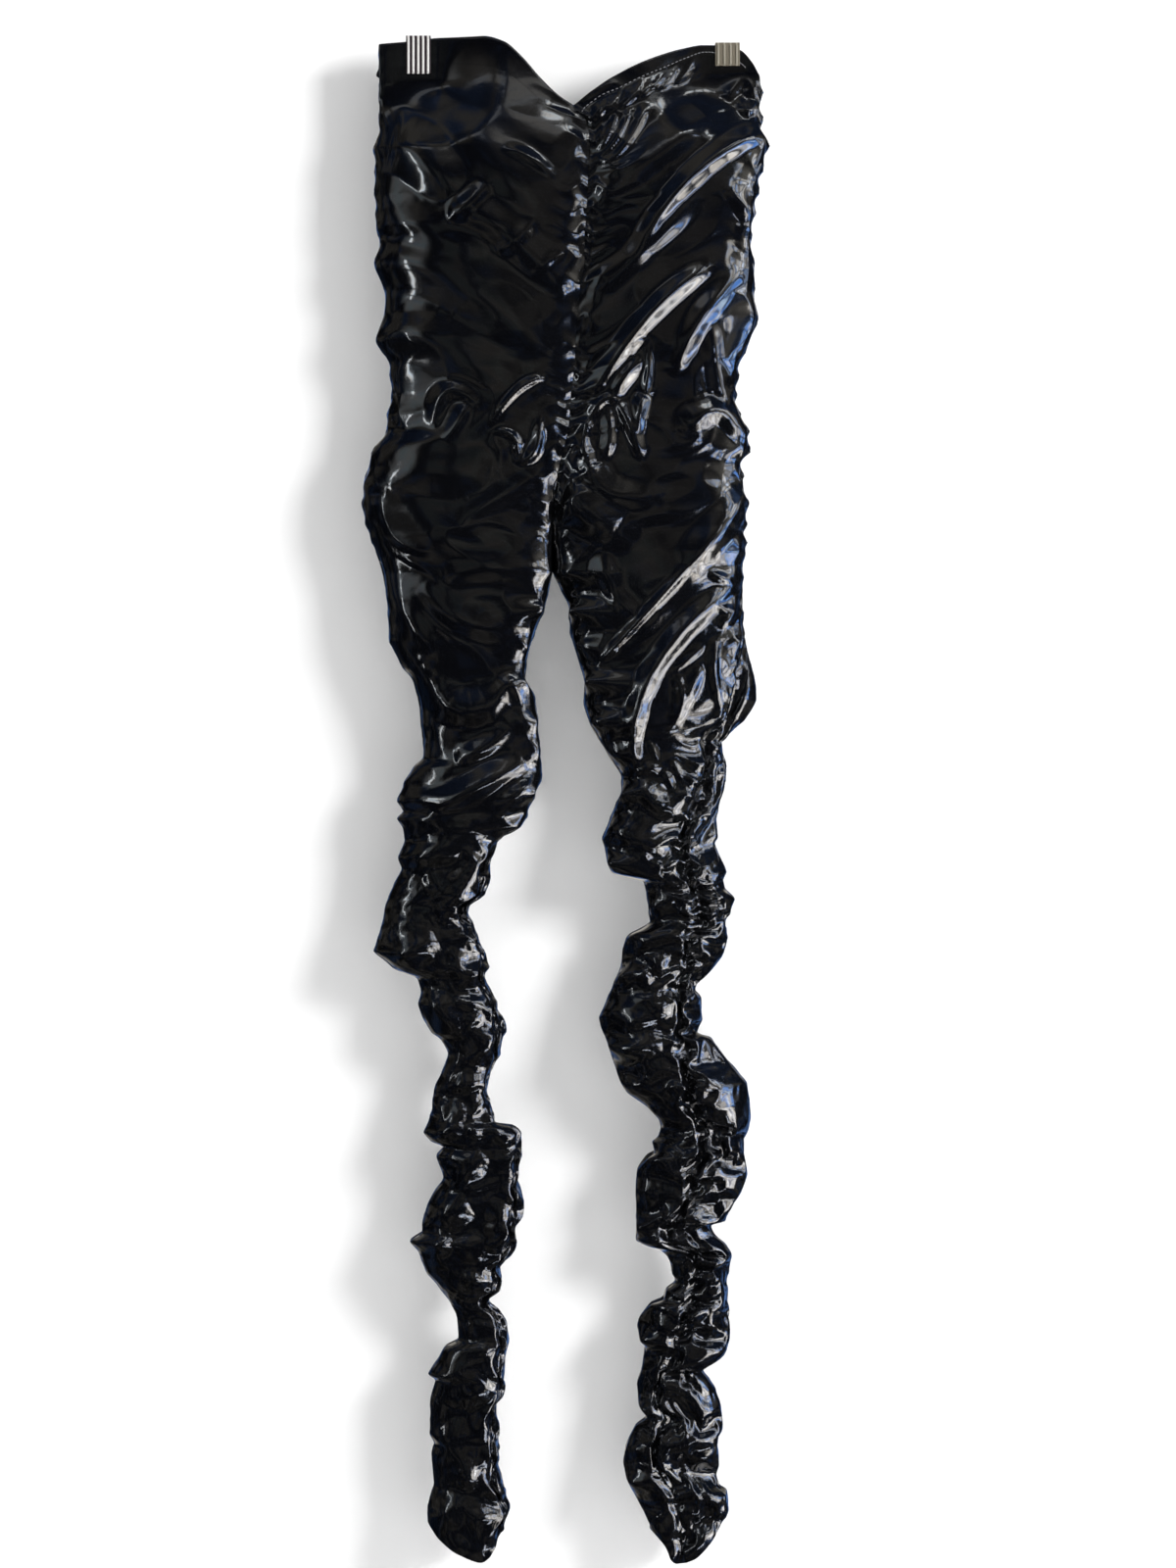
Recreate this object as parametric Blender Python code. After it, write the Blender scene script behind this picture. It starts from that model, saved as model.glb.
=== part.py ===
"""Ruched high-gloss trousers, held by two spring clips at the corners of the waist.

Axes: +X is the wearer's left, -Y is the front, +Z is up. The origin lies midway between
the clips, level with the top of the right clip. "drop" is the distance down from there.
The tables are in millimetres and the scene is in metres.

Each leg is a tube of two cloth walls, front and back, which meet at the outseam and, below
the crotch, at the inseam. Above the crotch the two sides meet at the centre seams. Each
wall is one panel as it is sewn, but four solids, hip, thigh, calf and ankle, because a
shorter solid can be hollow in a simulation.
"""

import math

import bmesh
import bpy
import numpy as np

MM = 0.001

# ---- driving sizes, in mm ----
CLOTH = 2.0  # wall of one layer
SEAM_GAP = 0.3  # between pieces that are sewn together
CROTCH_DROP = 434.0
HEM_DROP = 1200.0  # where the rows of cloth end before the hem's own curve
WAIST_FADE = 180.0  # how far down the waist's curve reaches into the rows
HEM_FADE = 120.0  # how far up the hem's curve reaches into the rows
BACK_LOWER = 3.0  # the back waist hangs this much lower than the front
BACK_HEM_HIGHER = 4.0  # the back hem stops this much higher than the front

FULL_DEPTH = {"front": 36.0, "back": 25.0}  # a very wide tube stands out this far
DEPTH_WIDTH = 76.0  # width that brings the depth to 63% of the full depth
WAIST_FLATNESS = 0.42  # share of the depth that is left at the clips
WAIST_DEEPENS = 130.0  # drop at which the waist has its whole depth

GATHER_PITCH = 24.0  # one gather along a ruched seam
GATHER_HEIGHT = 2.4
GATHER_REACH = 22.0  # how far a gather runs out from its seam
SEAM_VALLEY = 11.0  # folds die out within this distance of a seam

KNEE_DROP = 760.0
ANKLE_DROP = 985.0
SPANS = {  # the solids along a panel: where each starts and ends, and its rows
    "hip": {"top": 0.0, "bottom": CROTCH_DROP, "rows": 32},
    "thigh": {"top": CROTCH_DROP, "bottom": KNEE_DROP, "rows": 31},
    "calf": {"top": KNEE_DROP, "bottom": ANKLE_DROP, "rows": 21},
    "ankle": {"top": ANKLE_DROP, "bottom": HEM_DROP, "rows": 20},
}
COLUMNS = {"front": 8, "back": 6}

SIDES = {"right": -1, "left": 1}  # towards -X and +X
LAYERS = {"front": 1, "back": -1}

# ---- the body: drop, right edge, centre seam, left edge ----
BODY_COLUMNS = ("drop", "right_edge", "centre", "left_edge")
BODY_SECTIONS = (
    (3, -158, 5, 152),
    (46, -158, 10, 154),
    (70, -158, 12, 154),
    (87, -162, 14, 159),
    (110, -162, 13, 154),
    (135, -160, 12, 149),
    (151, -161, 11, 146),
    (162, -157, 10, 146),
    (183, -162, 10, 148),
    (206, -154, 6, 149),
    (222, -154, 5, 151),
    (242, -161, 3, 146),
    (266, -150, 2, 136),
    (290, -149, -1, 134),
    (318, -153, -3, 142),
    (331, -162, -6, 143),
    (346, -167, -10, 137),
    (374, -171, -14, 142),
    (404, -164, -16, 142),
    (434, -154, -16, 139),
)

# ---- the legs below the crotch: drop, outer edge, inner edge ----
LEG_COLUMNS = ("drop", "outer", "inner")
LEG_SECTIONS = {
    "right": (
        (434, -154, -16),
        (462, -150, -22),
        (490, -150, -33),
        (506, -141, -37),
        (519, -132, -38),
        (535, -126, -30),
        (570, -121, -26),
        (586, -123, -25),
        (599, -134, -26),
        (622, -143, -33),
        (636, -138, -40),
        (647, -138, -53),
        (670, -141, -66),
        (690, -146, -71),
        (706, -154, -84),
        (722, -157, -80),
        (742, -162, -73),
        (754, -148, -70),
        (768, -128, -66),
        (794, -125, -59),
        (810, -113, -58),
        (823, -104, -59),
        (842, -106, -67),
        (858, -114, -69),
        (880, -119, -64),
        (894, -120, -46),
        (906, -110, -42),
        (930, -110, -42),
        (943, -122, -41),
        (962, -125, -46),
        (979, -130, -46),
        (998, -125, -56),
        (1022, -106, -66),
        (1042, -96, -60),
        (1060, -96, -54),
        (1076, -110, -54),
        (1090, -118, -56),
        (1118, -118, -60),
        (1166, -116, -62),
        (1188, -118, -53),
        (1207, -118, -55),
    ),
    "left": (
        (434, 139, -16),
        (462, 138, -3),
        (482, 142, -2),
        (502, 145, 4),
        (523, 149, 10),
        (540, 150, 9),
        (558, 140, 15),
        (571, 129, 25),
        (587, 125, 34),
        (606, 125, 41),
        (626, 120, 34),
        (646, 118, 26),
        (672, 122, 30),
        (688, 125, 54),
        (702, 130, 61),
        (716, 128, 62),
        (727, 126, 49),
        (743, 122, 35),
        (766, 104, 29),
        (780, 106, 24),
        (802, 106, 19),
        (814, 112, 22),
        (828, 126, 26),
        (846, 140, 33),
        (870, 143, 50),
        (884, 142, 57),
        (910, 142, 50),
        (930, 140, 46),
        (951, 130, 50),
        (975, 119, 56),
        (986, 126, 68),
        (998, 129, 81),
        (1015, 128, 78),
        (1030, 127, 63),
        (1047, 126, 49),
        (1070, 124, 51),
        (1086, 112, 51),
        (1106, 120, 52),
        (1122, 122, 57),
        (1135, 123, 48),
        (1154, 120, 36),
        (1174, 121, 40),
        (1191, 129, 50),
        (1207, 126, 60),
    ),
}

# ---- how far each leg's seams are twisted round to the front, in degrees ----
TWIST = {
    "right": ((434, 0), (600, 0), (700, -30), (900, -20), (1000, -35), (1207, -30)),
    "left": (
        (434, 0),
        (480, 16),
        (530, 48),
        (620, 52),
        (690, 82),
        (780, 58),
        (870, 90),
        (1050, 102),
        (1125, 116),
        (1207, 96),
    ),
}

# ---- the centre seams: drop, share of the depth that is left there ----
CENTRE_VALLEY = ((0, 0.9), (120, 0.72), (330, 0.62), (400, 0.36), (434, 0.0))

# ---- top and bottom edges: share of the way from outseam to inner seam, drop ----
WAIST_LINE = {
    "right": (
        (0, 3),
        (0.15, 1),
        (0.33, -2),
        (0.53, -2),
        (0.64, 3),
        (0.73, 15),
        (0.83, 33),
        (0.92, 47),
        (1, 56),
    ),
    "left": (
        (0, 31),
        (0.04, 18),
        (0.1, 8),
        (0.2, 4),
        (0.3, 4),
        (0.4, 7),
        (0.6, 18),
        (0.8, 34),
        (0.9, 45),
        (1, 56),
    ),
}
BAND_WIDTH = {
    "right": ((0, 20), (0.3, 20), (0.6, 24), (0.85, 18), (1, 11)),
    "left": ((0, 18), (0.3, 18), (0.6, 20), (0.85, 17), (1, 11)),
}
HEM_LINE = {
    "right": ((0, 1206), (0.15, 1218), (0.4, 1230), (0.65, 1236), (0.85, 1226), (1, 1207)),
    "left": ((0, 1202), (0.2, 1220), (0.4, 1234), (0.6, 1238), (0.8, 1223), (1, 1210)),
}

# ---- folds of the front: a bent crest from start over middle to end, its half width and height ----
FOLD_COLUMNS = ("x1", "drop1", "x2", "drop2", "x3", "drop3", "half_width", "height")
FRONT_FOLDS = (
    # the wearer's left hip, rising from the centre seam to the outseam
    (154, 76, 94, 119, 50, 183, 21, 9),
    (108, 190, 64, 227, 18, 289, 18, 9),
    (137, 190, 107, 226, 84, 269, 16, 7),
    (13, 354, 30, 292, 54, 342, 12, 8),
    (10, 326, 22, 366, 64, 375, 13, 7),
    (94, 318, 121, 303, 143, 330, 13, 7),
    (35, 282, 61, 247, 57, 326, 11, 6),
    (112, 230, 121, 286, 134, 310, 11, 5),
    (142, 370, 85, 436, 21, 510, 21, 11),
    (-8, 374, 6, 382, 35, 402, 19, 8),
    (26, 419, 33, 450, 57, 474, 11, 5),
    (14, 130, 61, 103, 107, 63, 16, 6),
    (21, 206, 53, 180, 93, 138, 13, 6),
    (126, 126, 146, 150, 139, 175, 11, 5),
    # the wearer's right hip, falling from the outseam to the centre seam
    (-118, 26, -56, 108, 5, 166, 14, 8),
    (-102, 23, -43, 70, 1, 103, 11, 5),
    (-147, 86, -123, 98, -95, 130, 19, 10),
    (-98, 143, -58, 158, -7, 206, 14, 8),
    (-151, 138, -115, 162, -67, 175, 13, 6),
    (-147, 183, -85, 206, -18, 254, 16, 9),
    (-143, 222, -103, 255, -47, 284, 13, 7),
    (-111, 318, -102, 290, -77, 298, 10, 6),
    (-24, 279, -67, 318, -26, 343, 13, 9),
    (-151, 330, -99, 323, -31, 286, 13, 6),
    (-159, 366, -123, 350, -67, 359, 22, 8),
    (-90, 398, -67, 380, -22, 355, 11, 6),
    # thighs
    (-162, 410, -139, 462, -111, 498, 13, 7),
    (-103, 438, -63, 432, -24, 433, 14, 7),
    (-123, 446, -79, 478, -35, 471, 13, 6),
    (-123, 510, -91, 546, -43, 526, 16, 8),
    (-67, 556, -51, 526, -38, 556, 10, 6),
    (-92, 566, -61, 574, -27, 564, 10, 5),
    (-127, 636, -78, 606, -31, 586, 11, 8),
    (-91, 646, -55, 622, -27, 594, 10, 7),
    (-138, 673, -98, 658, -43, 634, 13, 8),
    (-115, 716, -91, 694, -69, 660, 11, 8),
    (-157, 742, -131, 714, -115, 686, 18, 9),
    (-143, 758, -127, 735, -75, 726, 11, 7),
    (129, 446, 64, 518, 51, 594, 18, 10),
    (51, 594, 81, 623, 112, 569, 11, 8),
    (130, 486, 150, 530, 123, 578, 14, 7),
    # the wearer's right calf
    (-123, 770, -111, 798, -91, 814, 10, 6),
    (-103, 862, -87, 846, -67, 838, 10, 7),
    (-118, 882, -99, 878, -75, 850, 10, 7),
    (-63, 918, -51, 906, -43, 890, 10, 6),
    (-107, 914, -83, 918, -67, 898, 11, 6),
    (-123, 966, -99, 946, -87, 926, 11, 7),
    (-75, 926, -47, 938, -59, 990, 13, 8),
    (-127, 982, -107, 998, -83, 1006, 8, 5),
    (-91, 1042, -71, 1038, -58, 1062, 11, 7),
    (-111, 1082, -87, 1070, -63, 1086, 11, 6),
    (-115, 1118, -91, 1102, -63, 1110, 11, 6),
    (-114, 1158, -87, 1150, -63, 1142, 11, 6),
    (-115, 1198, -99, 1182, -67, 1174, 11, 7),
    (-91, 1214, -71, 1190, -59, 1202, 10, 6),
    # the wearer's left calf
    (33, 662, 45, 646, 53, 630, 11, 6),
    (93, 670, 105, 646, 121, 654, 11, 7),
    (97, 690, 110, 686, 129, 698, 8, 6),
    (109, 726, 121, 710, 126, 726, 10, 6),
    (45, 738, 65, 734, 85, 726, 10, 5),
    (93, 754, 113, 738, 121, 754, 10, 6),
    (33, 774, 53, 766, 77, 774, 11, 6),
    (22, 806, 45, 794, 77, 790, 10, 6),
    (41, 834, 57, 818, 77, 812, 8, 6),
    (89, 830, 117, 834, 141, 854, 13, 8),
    (85, 870, 117, 886, 105, 938, 12, 8),
    (121, 886, 137, 898, 137, 926, 10, 6),
    (53, 910, 65, 894, 85, 886, 10, 6),
    (57, 958, 77, 938, 93, 942, 11, 6),
    (93, 974, 113, 958, 129, 966, 10, 6),
    (83, 1006, 101, 990, 126, 998, 10, 6),
    (93, 1038, 110, 1014, 125, 1030, 11, 7),
    (57, 1062, 69, 1038, 89, 1034, 10, 6),
    (85, 1078, 105, 1066, 125, 1066, 10, 7),
    (57, 1110, 77, 1094, 113, 1098, 11, 6),
    (85, 1134, 105, 1118, 121, 1126, 10, 6),
    (45, 1150, 61, 1134, 73, 1146, 13, 7),
    (93, 1166, 109, 1150, 121, 1154, 9, 6),
    (93, 1190, 109, 1178, 129, 1190, 9, 6),
)

# ---- folds of the back, which repeat by rule: chevrons on the body, slants down the legs ----
BACK_BODY_FOLDS = {"first": 70, "pitch": 41, "rise": 62, "half_width": 15, "height": 6.0}
BACK_LEG_FOLDS = {"first": 470, "pitch": 31, "rise": 20, "half_width": 11, "height": 5.5}
BACK_VARIATION_SEED = 11

# ---- the clips: centre along X, drop of the inside of the bend and of the foot of the jaws ----
CLIPS = {
    "right": {"x": -125.5, "bend": -3.0, "foot": 26.8, "ribs": 5},
    "left": {"x": 126.5, "bend": 2.6, "foot": 20.4, "ribs": 4},
}
CLIP_WIDTH = 20.0
CLIP_PLATE = 1.2
CLIP_CLEARANCE = 0.3
CLIP_ROUNDING = 0.3
RIB_WIDTH, RIB_HEIGHT = 1.7, 0.8
PINCH_Y = 3.5  # outer face of each layer of cloth between the jaws, from the middle
PINCH_ASIDE, PINCH_BELOW = 24.0, 14.0  # the cloth stays pinched this far round a clip
PINCH_SPREAD = 46.0  # and opens out again over this distance


def smooth(t):
    """0 to 1 with no slope at either end."""
    t = np.clip(t, 0.0, 1.0)
    return t * t * (3 - 2 * t)


def through(rows, column, at):
    """A curve through a table's rows that never swings past them, read at the given places."""
    table = np.array(rows, float)
    x, y = table[:, 0], table[:, column]
    step, rise = np.diff(x), np.diff(y)
    slope = rise / step
    same = slope[:-1] * slope[1:] > 0
    inner = np.zeros(len(x) - 2)
    inner[same] = 2 / (1 / slope[:-1][same] + 1 / slope[1:][same])
    tangent = np.concatenate([[slope[0]], inner, [slope[-1]]])
    at = np.clip(at, x[0], x[-1])
    i = np.clip(np.searchsorted(x, at) - 1, 0, len(x) - 2)
    t = (at - x[i]) / step[i]
    return (
        y[i]
        + rise[i] * t * t * (3 - 2 * t)
        + step[i] * (tangent[i] * t * (1 - t) ** 2 - tangent[i + 1] * t * t * (1 - t))
    )


def back_folds():
    """The back's folds, made by rule with a little variation in place, length and height."""
    vary = np.random.default_rng(BACK_VARIATION_SEED)
    folds = []
    rule = BACK_BODY_FOLDS
    for n, drop in enumerate(np.arange(rule["first"], CROTCH_DROP - 20, rule["pitch"])):
        for side, sign in SIDES.items():
            low, mid, high = vary.uniform(-8, 8, 3)
            reach = vary.uniform(95, 148)
            wide = rule["half_width"] * vary.uniform(0.8, 1.3)
            start = drop + 10 * (n % 2) + rule["rise"] / 2
            folds.append(
                (sign * 12, start + low, sign * reach * 0.55, start + mid - rule["rise"] * 0.4,
                 sign * reach, start + high - rule["rise"], wide, rule["height"] * vary.uniform(0.7, 1.3))
            )
    rule = BACK_LEG_FOLDS
    for side, sign in SIDES.items():
        for n, drop in enumerate(np.arange(rule["first"], HEM_DROP, rule["pitch"])):
            outer, inner = edges(side, np.array([drop]))
            share = vary.uniform(0.08, 0.3, 2)
            x1 = float(outer[0] + (inner[0] - outer[0]) * share[0])
            x3 = float(inner[0] + (outer[0] - inner[0]) * share[1])
            lean = rule["rise"] * (1 if n % 2 else -1) * vary.uniform(0.4, 1.0)
            folds.append(
                (x1, drop - lean, (x1 + x3) / 2, drop + vary.uniform(-6, 6), x3, drop + lean,
                 rule["half_width"] * vary.uniform(0.85, 1.2), rule["height"] * vary.uniform(0.7, 1.3))
            )
    return folds


def edges(side, drop):
    """X of the outer edge and of the inner edge of one side of the trousers."""
    sign = SIDES[side]
    outer_column = BODY_COLUMNS.index(side + "_edge")
    above = drop <= CROTCH_DROP
    outer = np.where(
        above,
        through(BODY_SECTIONS, outer_column, drop),
        through(LEG_SECTIONS[side], LEG_COLUMNS.index("outer"), drop),
    )
    inner = np.where(
        above,
        through(BODY_SECTIONS, BODY_COLUMNS.index("centre"), drop),
        through(LEG_SECTIONS[side], LEG_COLUMNS.index("inner"), drop),
    )
    return outer, inner + sign * SEAM_GAP / 2


def depth(side, layer, drop):
    """How far the middle of one layer stands out from the seams."""
    outer, inner = edges(side, drop)
    full = FULL_DEPTH[layer] * (1 - np.exp(-np.abs(outer - inner) / DEPTH_WIDTH))
    return full * (WAIST_FLATNESS + (1 - WAIST_FLATNESS) * smooth(drop / WAIST_DEEPENS))


def centre_depth(layer, drop):
    """How far the centre seam stands out, the same for both sides of the body."""
    least = np.minimum(depth("right", layer, drop), depth("left", layer, drop))
    return least * through(CENTRE_VALLEY, 1, drop)


def fold_height(folds, x, drop):
    """Height of the folds over each place: the larger crest wins where two meet."""
    total = np.zeros(np.shape(x))
    along = np.linspace(0, 1, 9)
    for row in folds:
        f = dict(zip(FOLD_COLUMNS, row))
        bend = [2 * f["x2"] - (f["x1"] + f["x3"]) / 2, 2 * f["drop2"] - (f["drop1"] + f["drop3"]) / 2]
        crest_x = (1 - along) ** 2 * f["x1"] + 2 * along * (1 - along) * bend[0] + along**2 * f["x3"]
        crest_d = (1 - along) ** 2 * f["drop1"] + 2 * along * (1 - along) * bend[1] + along**2 * f["drop3"]
        nearest = np.full(np.shape(x), np.inf)
        place = np.zeros(np.shape(x))
        for k in range(len(along) - 1):
            ax, ad = crest_x[k], crest_d[k]
            bx, bd = crest_x[k + 1] - ax, crest_d[k + 1] - ad
            t = np.clip(((x - ax) * bx + (drop - ad) * bd) / (bx * bx + bd * bd), 0, 1)
            away = np.hypot(x - ax - t * bx, drop - ad - t * bd)
            place = np.where(away < nearest, along[k] + t * along[1], place)
            nearest = np.minimum(nearest, away)
        taper = 0.35 + 0.65 * np.sin(np.pi * place) ** 0.7
        total += (f["height"] * taper * smooth(1 - nearest / f["half_width"])) ** 3
    return np.cbrt(total)


def clip_hold(x, drop):
    """1 between a clip's jaws, falling to 0 where the cloth has opened out again."""
    hold = np.zeros(np.shape(x))
    for clip in CLIPS.values():
        aside = np.maximum(np.abs(x - clip["x"]) - PINCH_ASIDE, 0)
        below = np.maximum(drop - clip["foot"] - PINCH_BELOW, 0)
        hold = np.maximum(hold, 1 - smooth(np.hypot(aside, below) / PINCH_SPREAD))
    return hold


def cloth_points(side, layer, share, drop, folds):
    """Outer face of one layer: place and outward direction.

    share runs from 0 at the outseam to 1 at the inner seam, or at the centre seam.
    """
    sign, turn = SIDES[side], LAYERS[layer]
    outer, inner = edges(side, drop)
    out_depth = depth(side, layer, drop)
    legs = drop >= CROTCH_DROP
    seam_share = np.clip(centre_depth(layer, drop) / out_depth, 0, 1)
    last = np.where(legs, np.pi, np.pi - np.arcsin(seam_share))
    twist = np.radians(through(TWIST[side], 1, drop))
    angle = twist + turn * share * last
    half = np.abs(inner - outer) / (1 - np.cos(last))
    middle = outer - sign * half
    stands = np.where(np.sin(angle) >= 0, depth(side, "front", drop), depth(side, "back", drop))
    x = middle + sign * half * np.cos(angle)
    y = -stands * np.sin(angle)
    nx, ny = sign * np.cos(angle) / half, -np.sin(angle) / stands
    length = np.hypot(nx, ny)
    nx, ny = nx / length, ny / length

    # The end of each piece stops half a seam gap short of the seam.
    ends = turn * sign * ((share <= 0) * 1.0 - ((share >= 1) & legs) * 1.0) * SEAM_GAP / 2
    x, y = x + ends * ny, y - ends * nx

    # Near the body's centre seam the folds rise straight forwards or backwards.
    straight = np.where(legs, 0, smooth((share - 0.35) / 0.4))
    fx, fy = nx * (1 - straight), ny
    length = np.hypot(fx, fy)
    fx, fy = fx / length, fy / length

    from_seam = np.minimum(share, 1 - share) * half * last
    hold = clip_hold(x, drop) * smooth(from_seam / SEAM_VALLEY)
    face = smooth(np.abs(np.sin(angle)) / 0.6)
    rise = fold_height(folds["front"], x, drop) * (np.sin(angle) > 0)
    rise = rise + fold_height(folds["back"], x, drop) * (np.sin(angle) < 0)
    rise = rise * smooth(from_seam / SEAM_VALLEY) * face
    near_crotch = smooth(np.abs(drop - CROTCH_DROP) / 40)
    gather = GATHER_HEIGHT * np.cos(2 * np.pi * drop / GATHER_PITCH) * near_crotch
    rise = (rise + gather * np.exp(-from_seam / GATHER_REACH)) * (1 - hold)
    x, y = x + fx * rise, y + fy * rise

    # Between the jaws the cloth lies flat.
    y = y * (1 - hold) - turn * PINCH_Y * hold
    nx, ny = nx * (1 - hold), ny * (1 - hold) - turn * hold
    length = np.hypot(nx, ny)
    return x, y, nx / length, ny / length


def row_drops(span):
    """Places of a solid's rows along its panel, before the waist and the hem bend them."""
    top = span["top"] + (SEAM_GAP / 2 if span["top"] > 0 else 0)
    bottom = span["bottom"] - (SEAM_GAP / 2 if span["bottom"] < HEM_DROP else 0)
    return np.linspace(top, bottom, span["rows"] + 1)


def waist_share(share):
    """Share of the way across in X, from the share of the way round the waist."""
    last = math.pi - math.asin(CENTRE_VALLEY[0][1])
    return (1 - np.cos(share * last)) / (1 - math.cos(last))


def waist_drop(side, layer, share):
    """Drop of the cloth's top edge."""
    lower = BACK_LOWER * smooth(share / 0.4) if layer == "back" else 0
    return through(WAIST_LINE[side], 1, waist_share(share)) + lower


def band_bottom(side, layer, share):
    """Drop of the waistband's lower edge."""
    return waist_drop(side, layer, share) + through(BAND_WIDTH[side], 1, waist_share(share))


def hem_drop(side, layer, share):
    """Drop of the hem, by the place round the twisted leg."""
    twist = math.radians(float(through(TWIST[side], 1, np.array([HEM_DROP]))[0]))
    angle = twist + LAYERS[layer] * share * math.pi
    higher = BACK_HEM_HIGHER * np.clip(-np.sin(angle), 0, 1)
    return through(HEM_LINE[side], 1, (1 - np.cos(angle)) / 2) - higher


def leg_drops(side, layer, share, rows):
    """Drop of each place of a leg piece, from just under the waistband to the hem."""
    top = band_bottom(side, layer, share)
    x, y = cloth_points(side, layer, share, top, {"front": (), "back": ()})[:2]
    across = np.hypot(np.gradient(x, axis=1), np.gradient(y, axis=1))
    steepness = np.gradient(top, axis=1) / across
    top = top + SEAM_GAP * np.hypot(1, steepness)
    bottom = hem_drop(side, layer, share) - HEM_DROP
    upper = np.clip(1 - rows / WAIST_FADE, 0, 1) ** 2
    lower = np.clip((rows - HEM_DROP + HEM_FADE) / HEM_FADE, 0, 1) ** 2
    return rows + top * upper + bottom * lower


def wall(name, outer, directions, thickness, material):
    """A closed wall of cloth: a grid of points, pushed inwards by its thickness."""
    rows, columns = outer.shape[:2]
    mesh = bpy.data.meshes.new(name)
    build = bmesh.new()
    place = build.verts.layers.int.new("place")
    bmesh.ops.create_grid(build, x_segments=columns - 1, y_segments=rows - 1, size=0.5)
    for vert in build.verts:
        row = round((vert.co.y + 0.5) * (rows - 1))
        column = round((vert.co.x + 0.5) * (columns - 1))
        vert[place] = row * columns + column
    inner = (outer - directions * thickness).reshape(-1, 3) * MM
    outer = outer.reshape(-1, 3) * MM
    for vert in build.verts:
        vert.co = outer[vert[place]]
    bmesh.ops.triangulate(build, faces=build.faces[:])
    pushed = bmesh.ops.extrude_face_region(build, geom=build.faces[:], use_keep_orig=True)
    for vert in pushed["geom"]:
        if isinstance(vert, bmesh.types.BMVert):
            vert.co = inner[vert[place]]
    bmesh.ops.recalc_face_normals(build, faces=build.faces[:])
    if build.calc_volume(signed=True) < 0:
        bmesh.ops.reverse_faces(build, faces=build.faces[:])
    build.to_mesh(mesh)
    build.free()
    mesh.shade_smooth()
    mesh.materials.append(material)
    obj = bpy.data.objects.new(name, mesh)
    bpy.context.collection.objects.link(obj)
    return obj


def stacked(x, y, z):
    return np.stack([x, y, z], axis=-1)


def panel_piece(side, layer, name, folds, material):
    """One solid of a front or back panel: its hip, thigh, calf or ankle."""
    share = np.linspace(0, 1, COLUMNS[layer] + 1)[None, :]
    rows = row_drops(SPANS[name])[:, None]
    drop = leg_drops(side, layer, share, rows)
    share = np.broadcast_to(share, drop.shape)
    x, y, nx, ny = cloth_points(side, layer, share, drop, folds)
    outer, directions = stacked(x, y, -drop), stacked(nx, ny, np.zeros(x.shape))
    return wall(f"{layer}_{side}_{name}", outer, directions, CLOTH, material)


def band_piece(layer, folds, material):
    """The turned-over waistband of the front or the back, from outseam to outseam."""
    halves = []
    for side in SIDES:
        share = np.linspace(0, 1, COLUMNS[layer] + 1)[None, :]
        down = np.linspace(0, 1, 3)[:, None]
        top, bottom = waist_drop(side, layer, share), band_bottom(side, layer, share)
        drop = top + (bottom - top) * down
        share = np.broadcast_to(share, drop.shape)
        x, y, nx, ny = cloth_points(side, layer, share, drop, folds)
        halves.append((stacked(x, y, -drop), stacked(nx, ny, np.zeros(x.shape))))
    (right, right_out), (left, left_out) = halves
    middle = (right[:, -1:] + left[:, -1:]) / 2
    middle_out = right_out[:, -1:] + left_out[:, -1:]
    middle_out = middle_out / np.linalg.norm(middle_out, axis=-1, keepdims=True)
    outer = np.concatenate([right[:, :-1], middle, left[:, -2::-1]], axis=1)
    directions = np.concatenate([right_out[:, :-1], middle_out, left_out[:, -2::-1]], axis=1)
    return wall(f"waistband_{layer}", outer, directions, CLOTH, material)


def block(build, size, centre):
    """A box in a mesh that is being built, by its size and its centre."""
    made = bmesh.ops.create_cube(build, size=1)
    bmesh.ops.scale(build, vec=[s * MM for s in size], verts=made["verts"])
    bmesh.ops.translate(build, vec=[c * MM for c in centre], verts=made["verts"])
    return made["verts"]


def box_object(name, size, centre, bevel):
    """A box with rounded edges, as an object of its own."""
    mesh = bpy.data.meshes.new(name)
    build = bmesh.new()
    block(build, size, centre)
    bmesh.ops.bevel(
        build, geom=build.edges[:], offset=bevel * MM, segments=1, affect="EDGES"
    )
    build.to_mesh(mesh)
    build.free()
    obj = bpy.data.objects.new(name, mesh)
    bpy.context.collection.objects.link(obj)
    return obj


def clip_piece(side, material):
    """A spring clip folded over the waist: two jaws and the flat bridge between them."""
    clip = CLIPS[side]
    x, inner = clip["x"], PINCH_Y + CLIP_CLEARANCE
    across = 2 * (inner + CLIP_PLATE)
    jaw = clip["foot"] - clip["bend"]
    body = box_object(
        f"clip_{side}",
        (CLIP_WIDTH, across, jaw + CLIP_PLATE),
        (x, 0, CLIP_PLATE / 2 - (clip["bend"] + clip["foot"]) / 2),
        CLIP_ROUNDING,
    )
    slot = box_object(
        f"slot_cutter_{side}",
        (CLIP_WIDTH * 2, 2 * inner, jaw * 2),
        (x, 0, -clip["bend"] - jaw),
        CLIP_ROUNDING / 4,
    )
    slot.hide_render = True
    cut = body.modifiers.new("open_between_the_jaws", "BOOLEAN")
    cut.operation, cut.object = "DIFFERENCE", slot
    pitch = CLIP_WIDTH / clip["ribs"]
    for n in range(clip["ribs"]):
        rib = box_object(
            f"rib_cutter_{side}_{n}",
            (RIB_WIDTH, RIB_HEIGHT * 2, jaw - 2),
            (x + (n - (clip["ribs"] - 1) / 2) * pitch, -across / 2, -clip["foot"] + jaw / 2),
            CLIP_ROUNDING,
        )
        rib.hide_render = True
        join = body.modifiers.new(f"rib_{n}", "BOOLEAN")
        join.operation, join.object = "UNION", rib
    body.data.materials.append(material)
    return body


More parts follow.
